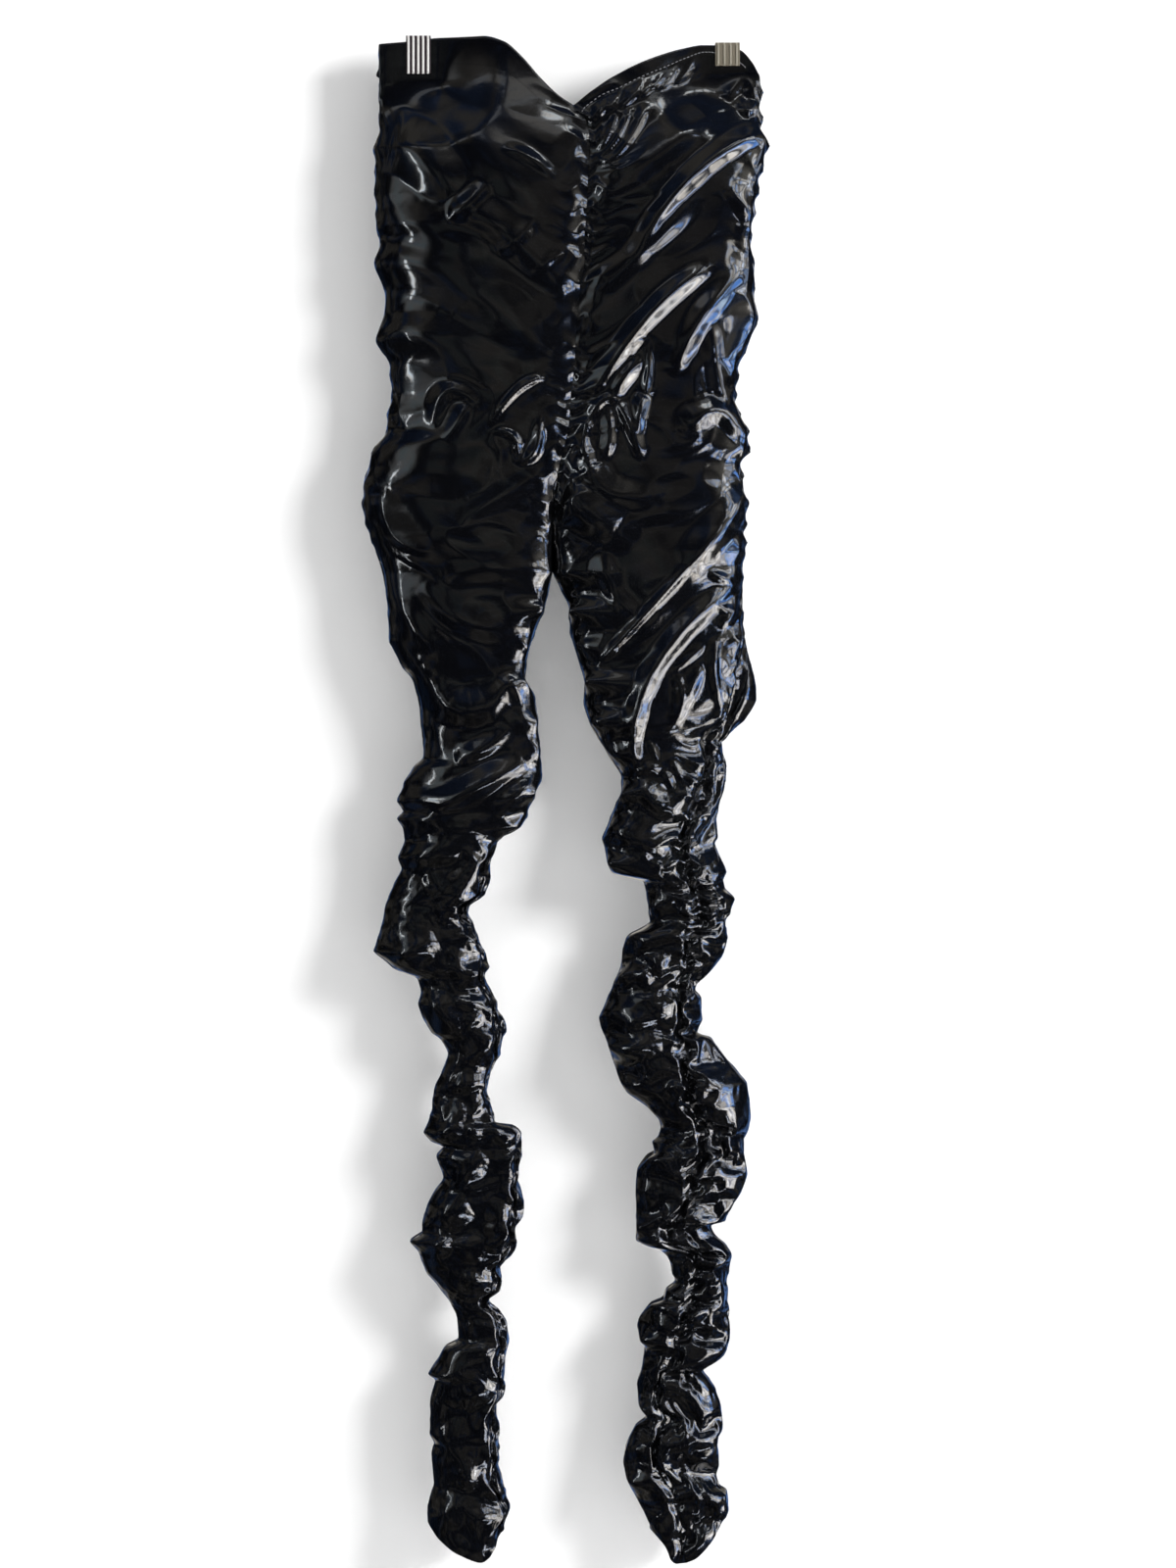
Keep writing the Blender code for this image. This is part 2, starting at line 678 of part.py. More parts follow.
def finish(name, colour, roughness, metallic):
    """A Principled material."""
    made = bpy.data.materials.new(name)
    made.use_nodes = True
    shader = made.node_tree.nodes["Principled BSDF"]
    shader.inputs["Base Color"].default_value = (*colour, 1)
    shader.inputs["Roughness"].default_value = roughness
    shader.inputs["Metallic"].default_value = metallic
    return made


def clear_scene():
    for obj in list(bpy.data.objects):
        bpy.data.objects.remove(obj)


def main():
    clear_scene()
    patent = finish("patent_cloth", (0.012, 0.012, 0.014), 0.12, 0.0)
    steel = finish("clip_metal", (0.62, 0.6, 0.56), 0.3, 1.0)
    folds = {"front": FRONT_FOLDS, "back": back_folds()}
    for layer in LAYERS:
        for side in SIDES:
            for name in SPANS:
                panel_piece(side, layer, name, folds, patent)
        band_piece(layer, folds, patent)
    for side in CLIPS:
        clip_piece(side, steel)


main()
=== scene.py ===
import math

import bpy
import numpy as np
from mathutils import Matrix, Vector


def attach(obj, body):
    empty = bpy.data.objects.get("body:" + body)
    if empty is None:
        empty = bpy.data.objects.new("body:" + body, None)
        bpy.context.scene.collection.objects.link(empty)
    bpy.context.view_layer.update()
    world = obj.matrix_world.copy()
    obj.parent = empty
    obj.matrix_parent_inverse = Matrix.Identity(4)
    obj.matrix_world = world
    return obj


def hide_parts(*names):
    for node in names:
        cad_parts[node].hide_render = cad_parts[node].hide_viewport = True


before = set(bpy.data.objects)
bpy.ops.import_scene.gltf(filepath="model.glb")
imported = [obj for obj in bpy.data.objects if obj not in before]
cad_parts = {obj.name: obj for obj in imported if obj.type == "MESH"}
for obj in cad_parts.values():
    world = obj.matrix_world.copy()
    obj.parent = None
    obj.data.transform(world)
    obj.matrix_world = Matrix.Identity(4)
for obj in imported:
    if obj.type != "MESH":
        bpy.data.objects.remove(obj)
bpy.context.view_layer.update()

# Sizes are in millimetres until a mesh is made. "drop" is the distance down from the origin,
# which lies midway between the clips. +X is the wearer's left and -Y is the front.
mm = 0.001
crotchDrop = 434.0
hemDrop = 1200.0
deepest = 1260.0  # below every hem
sideSign = {"right": -1, "left": 1}
layerTurn = {"front": 1, "back": -1}

# drop, right edge, centre seam, left edge
bodySections = (
    (3, -158, 1, 152),
    (46, -158, 0, 154),
    (56, -158, 1, 154),
    (70, -158, 12, 154),
    (87, -162, 14, 159),
    (110, -162, 13, 154),
    (135, -160, 12, 149),
    (151, -161, 11, 146),
    (162, -157, 10, 146),
    (183, -162, 10, 148),
    (206, -154, 6, 149),
    (222, -154, 5, 151),
    (242, -161, 3, 146),
    (266, -150, 2, 136),
    (290, -149, -1, 134),
    (318, -153, -3, 142),
    (331, -162, -6, 143),
    (346, -167, -10, 137),
    (374, -171, -14, 142),
    (404, -164, -16, 142),
    (434, -154, -16, 139),
)

# drop, edge
legOutline = {
    "right": {
        "outer": (
            (434, -154), (462, -150), (490, -150), (506, -141), (519, -132), (535, -126), (570, -121),
            (585, -122), (592, -130), (603, -137), (620, -143), (628, -138), (634, -143), (642, -138),
            (652, -136), (665, -142), (674, -139), (688, -146), (703, -152), (720, -155), (742, -162),
            (750, -152), (758, -142), (764, -127), (775, -123), (785, -125), (797, -121), (808, -114),
            (813, -107), (825, -101), (835, -104), (855, -113), (867, -114), (880, -117), (889, -121),
            (897, -115), (901, -105), (909, -111), (918, -107), (926, -105), (937, -112), (948, -118),
            (962, -122), (970, -122), (978, -132), (986, -126), (1003, -119), (1020, -105), (1030, -98),
            (1042, -93), (1058, -93), (1064, -104), (1075, -110), (1086, -117), (1091, -111),
            (1105, -115), (1135, -116), (1143, -113), (1151, -115), (1175, -113), (1195, -118),
            (1207, -118),
        ),
        "inner": (
            (434, -16), (462, -22), (490, -33), (506, -37), (519, -38), (535, -30), (570, -26),
            (590, -25), (598, -24), (615, -30), (630, -36), (641, -41), (646, -53), (653, -60),
            (663, -62), (671, -66), (695, -71), (705, -83), (712, -84), (720, -80), (732, -75),
            (745, -70), (755, -69), (763, -71), (778, -64), (798, -58), (808, -56), (825, -60),
            (840, -66), (855, -69), (868, -65), (880, -62), (884, -48), (890, -42), (905, -42),
            (930, -44), (945, -41), (960, -45), (975, -46), (988, -50), (1000, -58), (1008, -57),
            (1017, -58), (1023, -66), (1028, -67), (1035, -60), (1045, -55), (1060, -53), (1080, -54),
            (1103, -56), (1112, -61), (1160, -60), (1180, -55), (1198, -51), (1207, -55),
        ),
    },
    "left": {
        "outer": (
            (434, 139), (462, 138), (482, 142), (502, 145), (523, 149), (540, 150), (558, 140),
            (571, 120), (580, 121), (592, 127), (612, 125), (622, 121), (637, 118), (651, 119),
            (656, 116), (666, 120), (679, 125), (684, 121), (692, 124), (699, 131), (720, 126),
            (730, 126), (745, 121), (759, 110), (766, 103), (773, 101), (781, 106), (796, 107),
            (807, 103), (815, 114), (826, 122), (845, 137), (850, 141), (864, 143), (905, 141),
            (922, 142), (935, 137), (946, 130), (960, 125), (966, 114), (974, 118), (983, 126),
            (992, 129), (1003, 127), (1040, 127), (1058, 126), (1068, 124), (1079, 115), (1084, 107),
            (1092, 112), (1101, 117), (1113, 119), (1131, 122), (1137, 120), (1165, 118), (1178, 122),
            (1184, 127), (1196, 128), (1207, 124),
        ),
        "inner": (
            (434, -16), (462, -3), (482, -2), (502, 4), (523, 10), (540, 9), (558, 15), (575, 25),
            (588, 33), (600, 40), (611, 40), (625, 34), (640, 28), (650, 24), (656, 26), (668, 28),
            (678, 32), (681, 40), (685, 58), (700, 61), (718, 63), (722, 58), (727, 48), (731, 44),
            (741, 41), (752, 40), (775, 31), (786, 26), (796, 22), (803, 23), (815, 28), (830, 33),
            (848, 39), (858, 45), (868, 60), (878, 70), (886, 72), (893, 70), (897, 65), (905, 67),
            (909, 61), (920, 53), (932, 52), (978, 52), (982, 58), (985, 70), (991, 78), (1005, 82),
            (1011, 84), (1017, 77), (1025, 74), (1029, 64), (1040, 55), (1047, 53), (1058, 55),
            (1064, 59), (1080, 57), (1095, 53), (1110, 54), (1121, 61), (1128, 52), (1145, 44),
            (1160, 42), (1178, 48), (1192, 55), (1207, 63),
        ),
    },
}

# drop, degrees that the leg's seams are turned round towards the front
seamTwist = {
    "right": ((434, 0), (600, 0), (700, -30), (900, -20), (1000, -35), (1207, -30)),
    "left": (
        (434, 0), (480, 16), (530, 48), (620, 52), (690, 82), (780, 58), (870, 90), (1050, 102),
        (1125, 116), (1207, 96),
    ),
}

# share of the way in X from the outseam to the centre or the inseam, then a drop or a width
waistLine = {
    "right": (
        (0, 3), (0.15, 1), (0.33, -2), (0.53, -2), (0.64, 3), (0.73, 15), (0.83, 33), (0.92, 47),
        (1, 56),
    ),
    "left": (
        (0, 31), (0.04, 18), (0.1, 8), (0.2, 4), (0.3, 4), (0.4, 7), (0.6, 18), (0.8, 34), (0.9, 45),
        (1, 56),
    ),
}
bandWidth = {
    "right": ((0, 20), (0.3, 20), (0.6, 24), (0.85, 18), (1, 11)),
    "left": ((0, 17), (0.15, 11), (0.28, 7.5), (0.37, 9.5), (0.54, 13.5), (0.73, 14.5), (0.86, 11), (1, 10)),
}
hemLine = {
    "right": ((0, 1206), (0.15, 1218), (0.4, 1230), (0.65, 1236), (0.85, 1226), (1, 1207)),
    "left": ((0, 1202), (0.2, 1220), (0.4, 1234), (0.6, 1238), (0.8, 1223), (1, 1210)),
}

form = {
    "fullDepth": {"front": 36.0, "back": 25.0},
    "depthWidth": 76.0,
    "waistFlatness": 0.42,
    "waistDeepens": 130.0,
    "centreValley": ((0, 0.95), (120, 0.9), (330, 0.86), (400, 0.6), (434, 0.0)),
    "waistFade": 180.0,
    "hemFade": 120.0,
    "backLower": 3.0,
    "backHemHigher": 4.0,
    "pinchY": 3.5,
    "pinchAside": 14.0,
    "pinchBelow": 4.0,
    "pinchSpread": 62.0,  # how far from a clip the cloth has opened out again
    "stillSpread": 26.0,  # how far from a clip the folds start
}
# drop, how the outer and the inner flank round off: 1 is an arch, less has a flatter face
flanks = {
    "right": (
        (0, 1.0, 0.9), (330, 1.0, 0.8), (400, 1.0, 0.45), (434, 1.0, 0.25), (560, 1.0, 0.25),
        (660, 1.0, 0.4), (720, 1.0, 0.6), (880, 1.0, 0.5), (930, 1.0, 0.35), (990, 1.0, 0.4),
        (1040, 1.0, 0.45), (1240, 1.0, 0.4),
    ),
    "left": (
        (0, 0.5, 1.0), (150, 0.55, 1.0), (240, 1.0, 0.9), (330, 1.0, 0.7), (434, 1.0, 0.55),
        (560, 1.0, 0.5), (680, 1.0, 0.6), (760, 1.0, 1.0), (1240, 1.0, 1.0),
    ),
}
clips = {
    "right": {"x": -125.5, "bend": -3.0, "foot": 26.8, "ribs": 5},
    "left": {"x": 126.5, "bend": 2.6, "foot": 20.4, "ribs": 4},
}

# a bent crest from its start over its middle to its end, then its half width and its height
frontFolds = (
    (16, 96, 22, 84, 26, 68, 6, 3),
    (17, 98, 28, 84, 36, 64, 6, 4),
    (18, 100, 34, 88, 46, 62, 6, 4),
    (19, 103, 38, 96, 58, 62, 7, 4),
    (18, 108, 36, 106, 52, 98, 6, 3),
    (20, 116, 44, 108, 62, 92, 7, 3),
    (138, 52, 143, 58, 149, 50, 7, 4),
    (128, 44, 140, 30, 148, 44, 8, 4),
    (154, 76, 94, 119, 50, 183, 10, 8),
    (108, 190, 64, 227, 18, 289, 10, 8),
    (137, 190, 107, 226, 84, 269, 11, 7),
    (20, 362, 9, 332, 15, 310, 7.5, 5),
    (15, 310, 26, 296, 37, 298, 7.5, 5),
    (37, 298, 46, 316, 55, 341, 7.5, 5),
    (46, 262, 54, 250, 62, 249, 5, 4),
    (62, 249, 62, 272, 59, 292, 5, 4),
    (59, 292, 55, 304, 53, 324, 8, 6),
    (22, 344, 30, 330, 28, 300, 8, 4),
    (10, 326, 22, 366, 64, 375, 13, 7),
    (94, 318, 121, 303, 143, 330, 13, 7),
    (33, 292, 42, 278, 56, 262, 9, 5),
    (112, 230, 121, 286, 134, 310, 11, 5),
    (142, 370, 118, 402, 94, 432, 14, 9),
    (106, 416, 62, 466, 21, 510, 7, 7),
    (-8, 374, 6, 382, 35, 402, 20, 11),
    (26, 419, 33, 450, 57, 474, 11, 5),
    (14, 130, 61, 103, 107, 63, 16, 4),
    (21, 206, 53, 180, 93, 138, 13, 5),
    (126, 126, 146, 150, 139, 175, 11, 5),
    (-118, 26, -56, 108, 5, 166, 30, 4),
    (-102, 23, -43, 70, 1, 103, 26, 3),
    (-147, 86, -123, 98, -95, 130, 22, 7),
    (-98, 143, -58, 158, -7, 206, 18, 6),
    (-101, 147, -86, 141, -69, 122, 12, 6),
    (-60, 176, -45, 168, -30, 150, 11, 5),
    (-104, 328, -92, 315, -84, 298, 10, 6),
    (-56, 94, -36, 100, -14, 118, 9, 5),
    (-31, 196, -20, 186, -6, 176, 8, 4),
    (-151, 138, -115, 162, -67, 175, 20, 4),
    (-147, 183, -85, 206, -18, 254, 26, 5),
    (-143, 222, -103, 255, -47, 284, 22, 4),
    (-111, 318, -102, 290, -77, 298, 10, 6),
    (-24, 279, -45, 290, -66, 317, 6, 6),
    (-64, 322, -48, 326, -43, 345, 6, 5),
    (-43, 345, -30, 338, -26, 312, 7, 6),
    (-151, 330, -99, 323, -31, 286, 20, 4),
    (-159, 366, -123, 350, -67, 359, 26, 5),
    (-90, 398, -67, 380, -22, 355, 12, 4),
    (-162, 410, -139, 462, -111, 498, 15, 5),
    (-103, 438, -63, 432, -24, 433, 15, 5),
    (-123, 446, -79, 478, -35, 471, 15, 5),
    (-123, 510, -91, 546, -43, 526, 16, 8),
    (-67, 556, -51, 526, -38, 556, 10, 6),
    (-95, 586, -75, 579, -50, 562, 11, 7),
    (-118, 632, -78, 609, -38, 589, 13, 10),
    (-108, 629, -98, 624, -84, 622, 6, 3),
    (-62, 631, -47, 617, -30, 597, 11, 8),
    (-140, 616, -112, 618, -84, 609, 12, 5),
    (-141, 648, -122, 641, -100, 640, 11, 5),
    (-140, 674, -112, 660, -78, 645, 14, 8),
    (-79, 646, -75, 656, -61, 663, 8, 6),
    (-86, 652, -82, 664, -75, 670, 8, 6),
    (-76, 670, -86, 688, -110, 712, 11, 9),
    (-110, 713, -90, 707, -70, 694, 10, 8),
    (-118, 668, -111, 684, -100, 698, 10, 4),
    (-156, 732, -142, 722, -120, 716, 12, 6),
    (-148, 738, -134, 730, -114, 718, 10, 5),
    (-141, 758, -134, 744, -110, 730, 12, 9),
    (-98, 738, -92, 752, -94, 764, 8, 5),
    (-96, 769, -84, 763, -72, 760, 8, 6),
    (-85, 737, -78, 742, -72, 753, 6, 4),
    (-116, 771, -109, 788, -90, 805, 10, 8),
    (-124, 776, -112, 800, -98, 822, 10, 6),
    (-95, 778, -86, 783, -66, 779, 6, 5),
    (-91, 788, -80, 787, -69, 786, 5, 4),
    (-69, 786, -63, 790, -66, 797, 5, 4),
    (-87, 803, -80, 797, -75, 789, 7, 5),
    (-60, 812, -72, 820, -85, 832, 12, 7),
    (-98, 846, -85, 849, -68, 842, 9, 7),
    (-106, 840, -94, 832, -84, 820, 10, 5),
    (-70, 850, -78, 859, -84, 866, 6, 5),
    (-68, 858, -77, 868, -85, 876, 6, 5),
    (-112, 860, -107, 869, -100, 874, 8, 6),
    (-94, 864, -90, 870, -85, 868, 6, 4),
    (-115, 896, -99, 883, -84, 868, 10, 7),
    (-83, 876, -80, 884, -77, 893, 7, 5),
    (-58, 899, -51, 892, -43, 885, 9, 7),
    (-62, 872, -62, 884, -58, 899, 7, 5),
    (-82, 896, -80, 900, -79, 905, 5, 3),
    (-93, 936, -88, 922, -70, 906, 12, 8),
    (-110, 912, -98, 906, -84, 904, 10, 5),
    (-50, 905, -46, 915, -44, 930, 9, 5),
    (-110, 962, -101, 952, -85, 942, 12, 8),
    (-63, 963, -57, 953, -52, 946, 8, 5),
    (-60, 925, -52, 930, -44, 944, 10, 5),
    (-112, 964, -107, 978, -116, 990, 9, 7),
    (-131, 978, -120, 976, -109, 972, 8, 6),
    (-59, 987, -56, 972, -45, 958, 9, 7),
    (-95, 975, -84, 985, -68, 990, 12, 4),
    (-90, 1007, -80, 1007, -70, 1013, 8, 7),
    (-106, 1008, -98, 1014, -84, 1018, 9, 5),
    (-69, 1013, -63, 1010, -57, 1014, 5, 4),
    (-77, 1025, -71, 1031, -64, 1036, 8, 6),
    (-68, 1033, -64, 1044, -63, 1055, 6, 5),
    (-75, 1069, -72, 1065, -65, 1073, 7, 5),
    (-104, 1066, -98, 1078, -94, 1094, 11, 6),
    (-116, 1085, -108, 1084, -100, 1080, 7, 6),
    (-60, 1080, -58, 1090, -56, 1102, 6, 4),
    (-90, 1103, -78, 1098, -68, 1087, 12, 6),
    (-70, 1139, -67, 1125, -61, 1112, 9, 6),
    (-69, 1141, -65, 1150, -60, 1160, 8, 5),
    (-112, 1142, -102, 1138, -88, 1142, 12, 5),
    (-79, 1154, -85, 1166, -80, 1176, 9, 7),
    (-64, 1163, -61, 1178, -55, 1191, 9, 6),
    (-110, 1188, -101, 1198, -109, 1214, 11, 7),
    (-97, 1182, -93, 1190, -90, 1200, 9, 4),
    (-84, 1206, -76, 1201, -68, 1190, 11, 6),
    (-99, 1227, -93, 1222, -87, 1216, 9, 5),
    (-62, 1203, -66, 1214, -80, 1226, 12, 5),
    (129, 446, 64, 518, 51, 594, 10, 8),
    (106, 495, 92, 507, 77, 518, 6, 3),
    (104, 511, 97, 528, 90, 545, 8, 5),
    (83, 518, 89, 538, 80, 562, 8, 5),
    (62, 570, 66, 580, 70, 588, 6, 4),
    (47, 600, 60, 594, 72, 593, 7, 5),
    (72, 593, 79, 604, 84, 618, 7, 5),
    (81, 586, 88, 602, 96, 620, 7, 5),
    (60, 611, 74, 619, 81, 626, 6, 4),
    (118, 490, 115, 512, 121, 545, 7, 5),
    (121, 545, 122, 560, 123, 574, 7, 5),
    (125, 516, 138, 525, 147, 540, 8, 5),
    (147, 541, 136, 556, 124, 574, 8, 5),
    (111, 434, 122, 440, 130, 441, 7, 4),
    (113, 460, 121, 463, 127, 467, 7, 4),
    (119, 478, 128, 470, 132, 455, 8, 5),
    (111, 580, 118, 578, 124, 590, 7, 5),
    (124, 592, 122, 610, 112, 636, 8, 6),
    (51, 594, 81, 626, 108, 576, 12, 9),
    (46, 600, 58, 595, 73, 597, 8, 6),
    (130, 486, 150, 530, 123, 578, 14, 7),
    (121, 576, 115, 604, 112, 640, 9, 6),
    (91, 672, 96, 646, 107, 636, 9, 8),
    (103, 662, 103, 648, 112, 638, 6, 5),
    (92, 675, 107, 681, 124, 680, 12, 9),
    (104, 690, 115, 697, 124, 685, 8, 6),
    (108, 702, 109, 712, 121, 727, 9, 8),
    (99, 729, 108, 727, 118, 729, 6, 5),
    (101, 731, 106, 739, 112, 751, 8, 6),
    (86, 731, 92, 743, 97, 733, 6, 5),
    (91, 744, 95, 752, 99, 761, 6, 5),
    (66, 742, 69, 751, 76, 756, 8, 6),
    (57, 752, 59, 762, 63, 771, 7, 5),
    (30, 651, 31, 660, 33, 669, 6, 4),
    (37, 640, 60, 652, 84, 656, 14, 5),
    (57, 654, 59, 663, 64, 660, 6, 4),
    (67, 668, 71, 674, 67, 682, 5, 4),
    (75, 675, 79, 669, 83, 664, 5, 4),
    (72, 694, 76, 688, 87, 689, 6, 5),
    (70, 698, 78, 700, 85, 695, 6, 4),
    (62, 703, 68, 706, 76, 702, 6, 4),
    (84, 702, 91, 704, 93, 714, 8, 6),
    (87, 764, 94, 762, 102, 763, 4, 4),
    (86, 771, 94, 770, 102, 771, 4, 4),
    (104, 777, 93, 781, 90, 791, 7, 6),
    (83, 803, 85, 798, 88, 793, 5, 4),
    (93, 802, 100, 797, 107, 796, 7, 5),
    (60, 779, 66, 778, 71, 774, 5, 4),
    (61, 782, 70, 789, 81, 790, 8, 6),
    (42, 808, 50, 799, 68, 796, 9, 7),
    (41, 808, 50, 809, 56, 814, 6, 5),
    (73, 815, 50, 821, 41, 838, 11, 9),
    (52, 830, 62, 836, 79, 832, 9, 7),
    (53, 844, 61, 844, 69, 840, 6, 5),
    (104, 808, 99, 816, 90, 821, 7, 6),
    (89, 822, 97, 827, 104, 827, 6, 5),
    (88, 836, 96, 834, 106, 828, 8, 6),
    (90, 838, 112, 862, 141, 884, 14, 10),
    (100, 842, 118, 836, 132, 832, 9, 4),
    (77, 848, 85, 853, 94, 859, 8, 6),
    (80, 861, 98, 868, 113, 878, 11, 8),
    (60, 868, 72, 872, 76, 884, 9, 5),
    (117, 894, 106, 906, 90, 918, 9, 8),
    (118, 898, 107, 914, 91, 933, 7, 7),
    (118, 900, 116, 920, 105, 942, 7, 7),
    (120, 884, 128, 899, 140, 916, 9, 8),
    (120, 884, 129, 882, 140, 887, 6, 6),
    (119, 900, 122, 908, 128, 906, 4, 4),
    (117, 922, 125, 932, 133, 942, 8, 5),
    (67, 896, 74, 908, 84, 926, 10, 5),
    (75, 957, 81, 953, 88, 948, 7, 6),
    (60, 912, 58, 934, 62, 956, 9, 5),
    (118, 953, 125, 949, 131, 944, 7, 6),
    (56, 978, 70, 978, 84, 974, 8, 6),
    (88, 969, 91, 974, 99, 972, 6, 5),
    (101, 976, 108, 968, 118, 975, 7, 6),
    (104, 982, 115, 983, 129, 993, 7, 6),
    (109, 990, 115, 1010, 107, 1028, 10, 8),
    (107, 1028, 99, 1033, 90, 1040, 9, 8),
    (120, 1021, 113, 1035, 118, 1060, 8, 5),
    (104, 1060, 115, 1064, 126, 1062, 7, 7),
    (62, 1030, 70, 1040, 80, 1048, 10, 5),
    (87, 1062, 92, 1067, 99, 1064, 6, 5),
    (81, 1079, 104, 1071, 125, 1066, 9, 8),
    (66, 1070, 71, 1084, 66, 1096, 10, 4),
    (95, 1089, 107, 1086, 117, 1102, 10, 7),
    (101, 1123, 110, 1117, 120, 1112, 8, 7),
    (84, 1112, 90, 1122, 98, 1130, 9, 4),
    (97, 1131, 107, 1138, 118, 1141, 7, 7),
    (118, 1141, 109, 1150, 98, 1161, 8, 7),
    (103, 1163, 113, 1158, 121, 1147, 6, 5),
    (63, 1122, 70, 1136, 78, 1164, 9, 6),
    (44, 1160, 52, 1182, 67, 1206, 8, 5),
    (105, 1184, 115, 1187, 127, 1182, 7, 6),
    (112, 1200, 120, 1199, 128, 1196, 6, 5),
    (94, 1206, 99, 1203, 105, 1207, 6, 5),
    (111, 1202, 108, 1217, 92, 1230, 9, 7),
    (70, 1178, 72, 1192, 68, 1208, 10, 4),
)

foldShape = {
    "above": 1.3,  # a flank's reach over the half width, above the crest and below it
    "below": 0.85,
    "power": 1.12,
    "gain": ((0, 1.08), (600, 1.08), (700, 1.2), (1240, 1.25)),
    "wider": ((0, 1.0), (600, 1.0), (700, 1.4), (1240, 1.5)),
    "aside": 0.4,  # share of a fold's height by which it also moves sideways
    "crisp": 6,  # half width up to which a crest is sharp
}
# drop, how far the front of the left leg leans towards its outseam
legLean = ((434, 0.0), (480, 0.0), (560, 0.17), (650, 0.27), (710, 0.1), (780, 0.0), (1240, 0.0))
crumple = {
    # drop, size of a dent, its height, how far it is drawn out, its lean to the centre, share of flat faces
    "along": (
        (0, 40, 0.0, 0.6, 0.6, 0.0),
        (60, 56, 0.3, 0.55, 0.75, 0.0),
        (120, 56, 1.6, 0.55, 0.75, 0.0),
        (200, 60, 2.3, 0.55, 0.75, 0.0),
        (420, 60, 2.6, 0.6, 0.75, 0.0),
        (560, 50, 4.2, 0.65, 0.6, 0.5),
        (660, 40, 5.5, 0.75, -0.4, 0.85),
        (760, 38, 6.0, 0.75, 0.3, 1.0),
        (900, 40, 6.5, 0.75, -0.4, 1.0),
        (1050, 38, 7.0, 0.75, 0.4, 1.0),
        (1240, 36, 7.0, 0.75, -0.3, 1.0),
    ),
    "level": 0.3,  # share of the height that is taken off again, so the cloth keeps its size
    "steep": 2.6,  # dents fall off this much faster under a crest
    "gentle": 0.6,
    "flank": 0.75,  # 1 is a round dish, 0.5 has straight flanks
    "wander": 0.22,
    "finer": 2.4,  # small dents between the large ones, most of all along the seams
    "finerHeight": ((0, 0.1), (420, 0.15), (560, 0.25), (700, 0.2), (1240, 0.12)),
    "uneven": 0.6,
    "seed": 23,
}
# every table in it starts with a drop
gathers = {
    "pitch": ((0, 19), (540, 18), (640, 14), (1240, 15)),
    "height": {
        "right": ((0, 0.5), (80, 0.7), (150, 1.4), (400, 1.2), (560, 1.2), (700, 1.0), (1240, 1.0)),
        "left": ((0, 2.6), (540, 2.8), (640, 4.2), (900, 3.2), (1240, 2.0)),
    },
    "reach": 18.0,
    "sunk": ((0, 0.4), (60, 0.5), (500, 0.6), (640, 1.6), (1240, 2.0)),  # how deep a seam lies
    "wobble": 0.09,  # radians that a leg's seam wanders to either side
    # how far the edges jut in and out, and how far apart
    "ragged": ((0, 0), (60, 0), (90, 1.2), (420, 1.6), (560, 1.2), (600, 0), (1240, 0)),
    "raggedPitch": 13.0,
}

cloth = {
    "columns": 34,  # the cloth that is simulated
    "rows": 200,
    "finerColumns": 118,  # the cloth that shows
    "finerRows": 800,
    "frames": 20,
    "gatheredBy": 0.6,  # share of the frames in which the seams are drawn up
    "steps": 5,
    "seed": 7,
    # drop, how much longer the cloth was cut than it hangs, how far the outseam is drawn up for
    # each millimetre from the inner seam, share of the simulated buckling that is kept
    "front": ((0, 1.0, 0.02, 0.0), (560, 1.01, 0.02, 0.0), (700, 1.02, 0.0, 0.35), (1240, 1.02, 0.0, 0.35)),
    "back": (
        (0, 1.01, 0.0, 1.0), (60, 1.05, 0.18, 1.0), (420, 1.06, 0.25, 1.0), (560, 1.08, 0.15, 1.0),
        (700, 1.12, 0.0, 1.0), (1240, 1.12, 0.0, 1.0),
    ),
    "ease": 1.01,
    "hold": {"front": 0.6, "back": 0.2},
    "stretch": 30.0,
    "shear": 10.0,
    "bend": 12.0,
    "damping": 10,
    "bendDamping": 1,
    "mass": 0.1,
    "out": 12.0,  # how far a fold may stand out from the hung form
}


def smooth(t):
    t = np.clip(t, 0.0, 1.0)
    return t * t * (3 - 2 * t)


def through(rows, column, at):
    # a curve through the rows of a table that never swings past them
    table = np.array(rows, float)
    x, y = table[:, 0], table[:, column]
    step, rise = np.diff(x), np.diff(y)
    slope = rise / step
    same = slope[:-1] * slope[1:] > 0
    inner = np.zeros(len(x) - 2)
    inner[same] = 2 / (1 / slope[:-1][same] + 1 / slope[1:][same])
    tangent = np.concatenate([[slope[0]], inner, [slope[-1]]])
    at = np.clip(at, x[0], x[-1])
    i = np.clip(np.searchsorted(x, at) - 1, 0, len(x) - 2)
    t = (at - x[i]) / step[i]
    return (
        y[i]
        + rise[i] * t * t * (3 - 2 * t)
        + step[i] * (tangent[i] * t * (1 - t) ** 2 - tangent[i + 1] * t * t * (1 - t))
    )


def angular(rows, at):
    # cloth bends at corners, so the edge of a leg is nearly straight from one to the next
    table = np.array(rows, float)
    corners = np.interp(at, table[:, 0], table[:, 1])
    return 0.4 * through(rows, 1, at) + 0.6 * corners


def ragged(seed, drop):
    vary = np.random.default_rng(seed)
    corners = np.cumsum(gathers["raggedPitch"] * vary.uniform(0.4, 1.6, 110))
    return np.interp(drop, corners, vary.uniform(-1, 1, 110)) * through(gathers["ragged"], 1, drop)


def edges(side, drop):
    above = drop <= crotchDrop
    column = {"right": 1, "left": 3}[side]
    outline = legOutline[side]
    outer = np.where(above, through(bodySections, column, drop), angular(outline["outer"], drop))
    inner = np.where(above, through(bodySections, 2, drop), angular(outline["inner"], drop))
    return outer + ragged(3 + sideSign[side], drop), inner


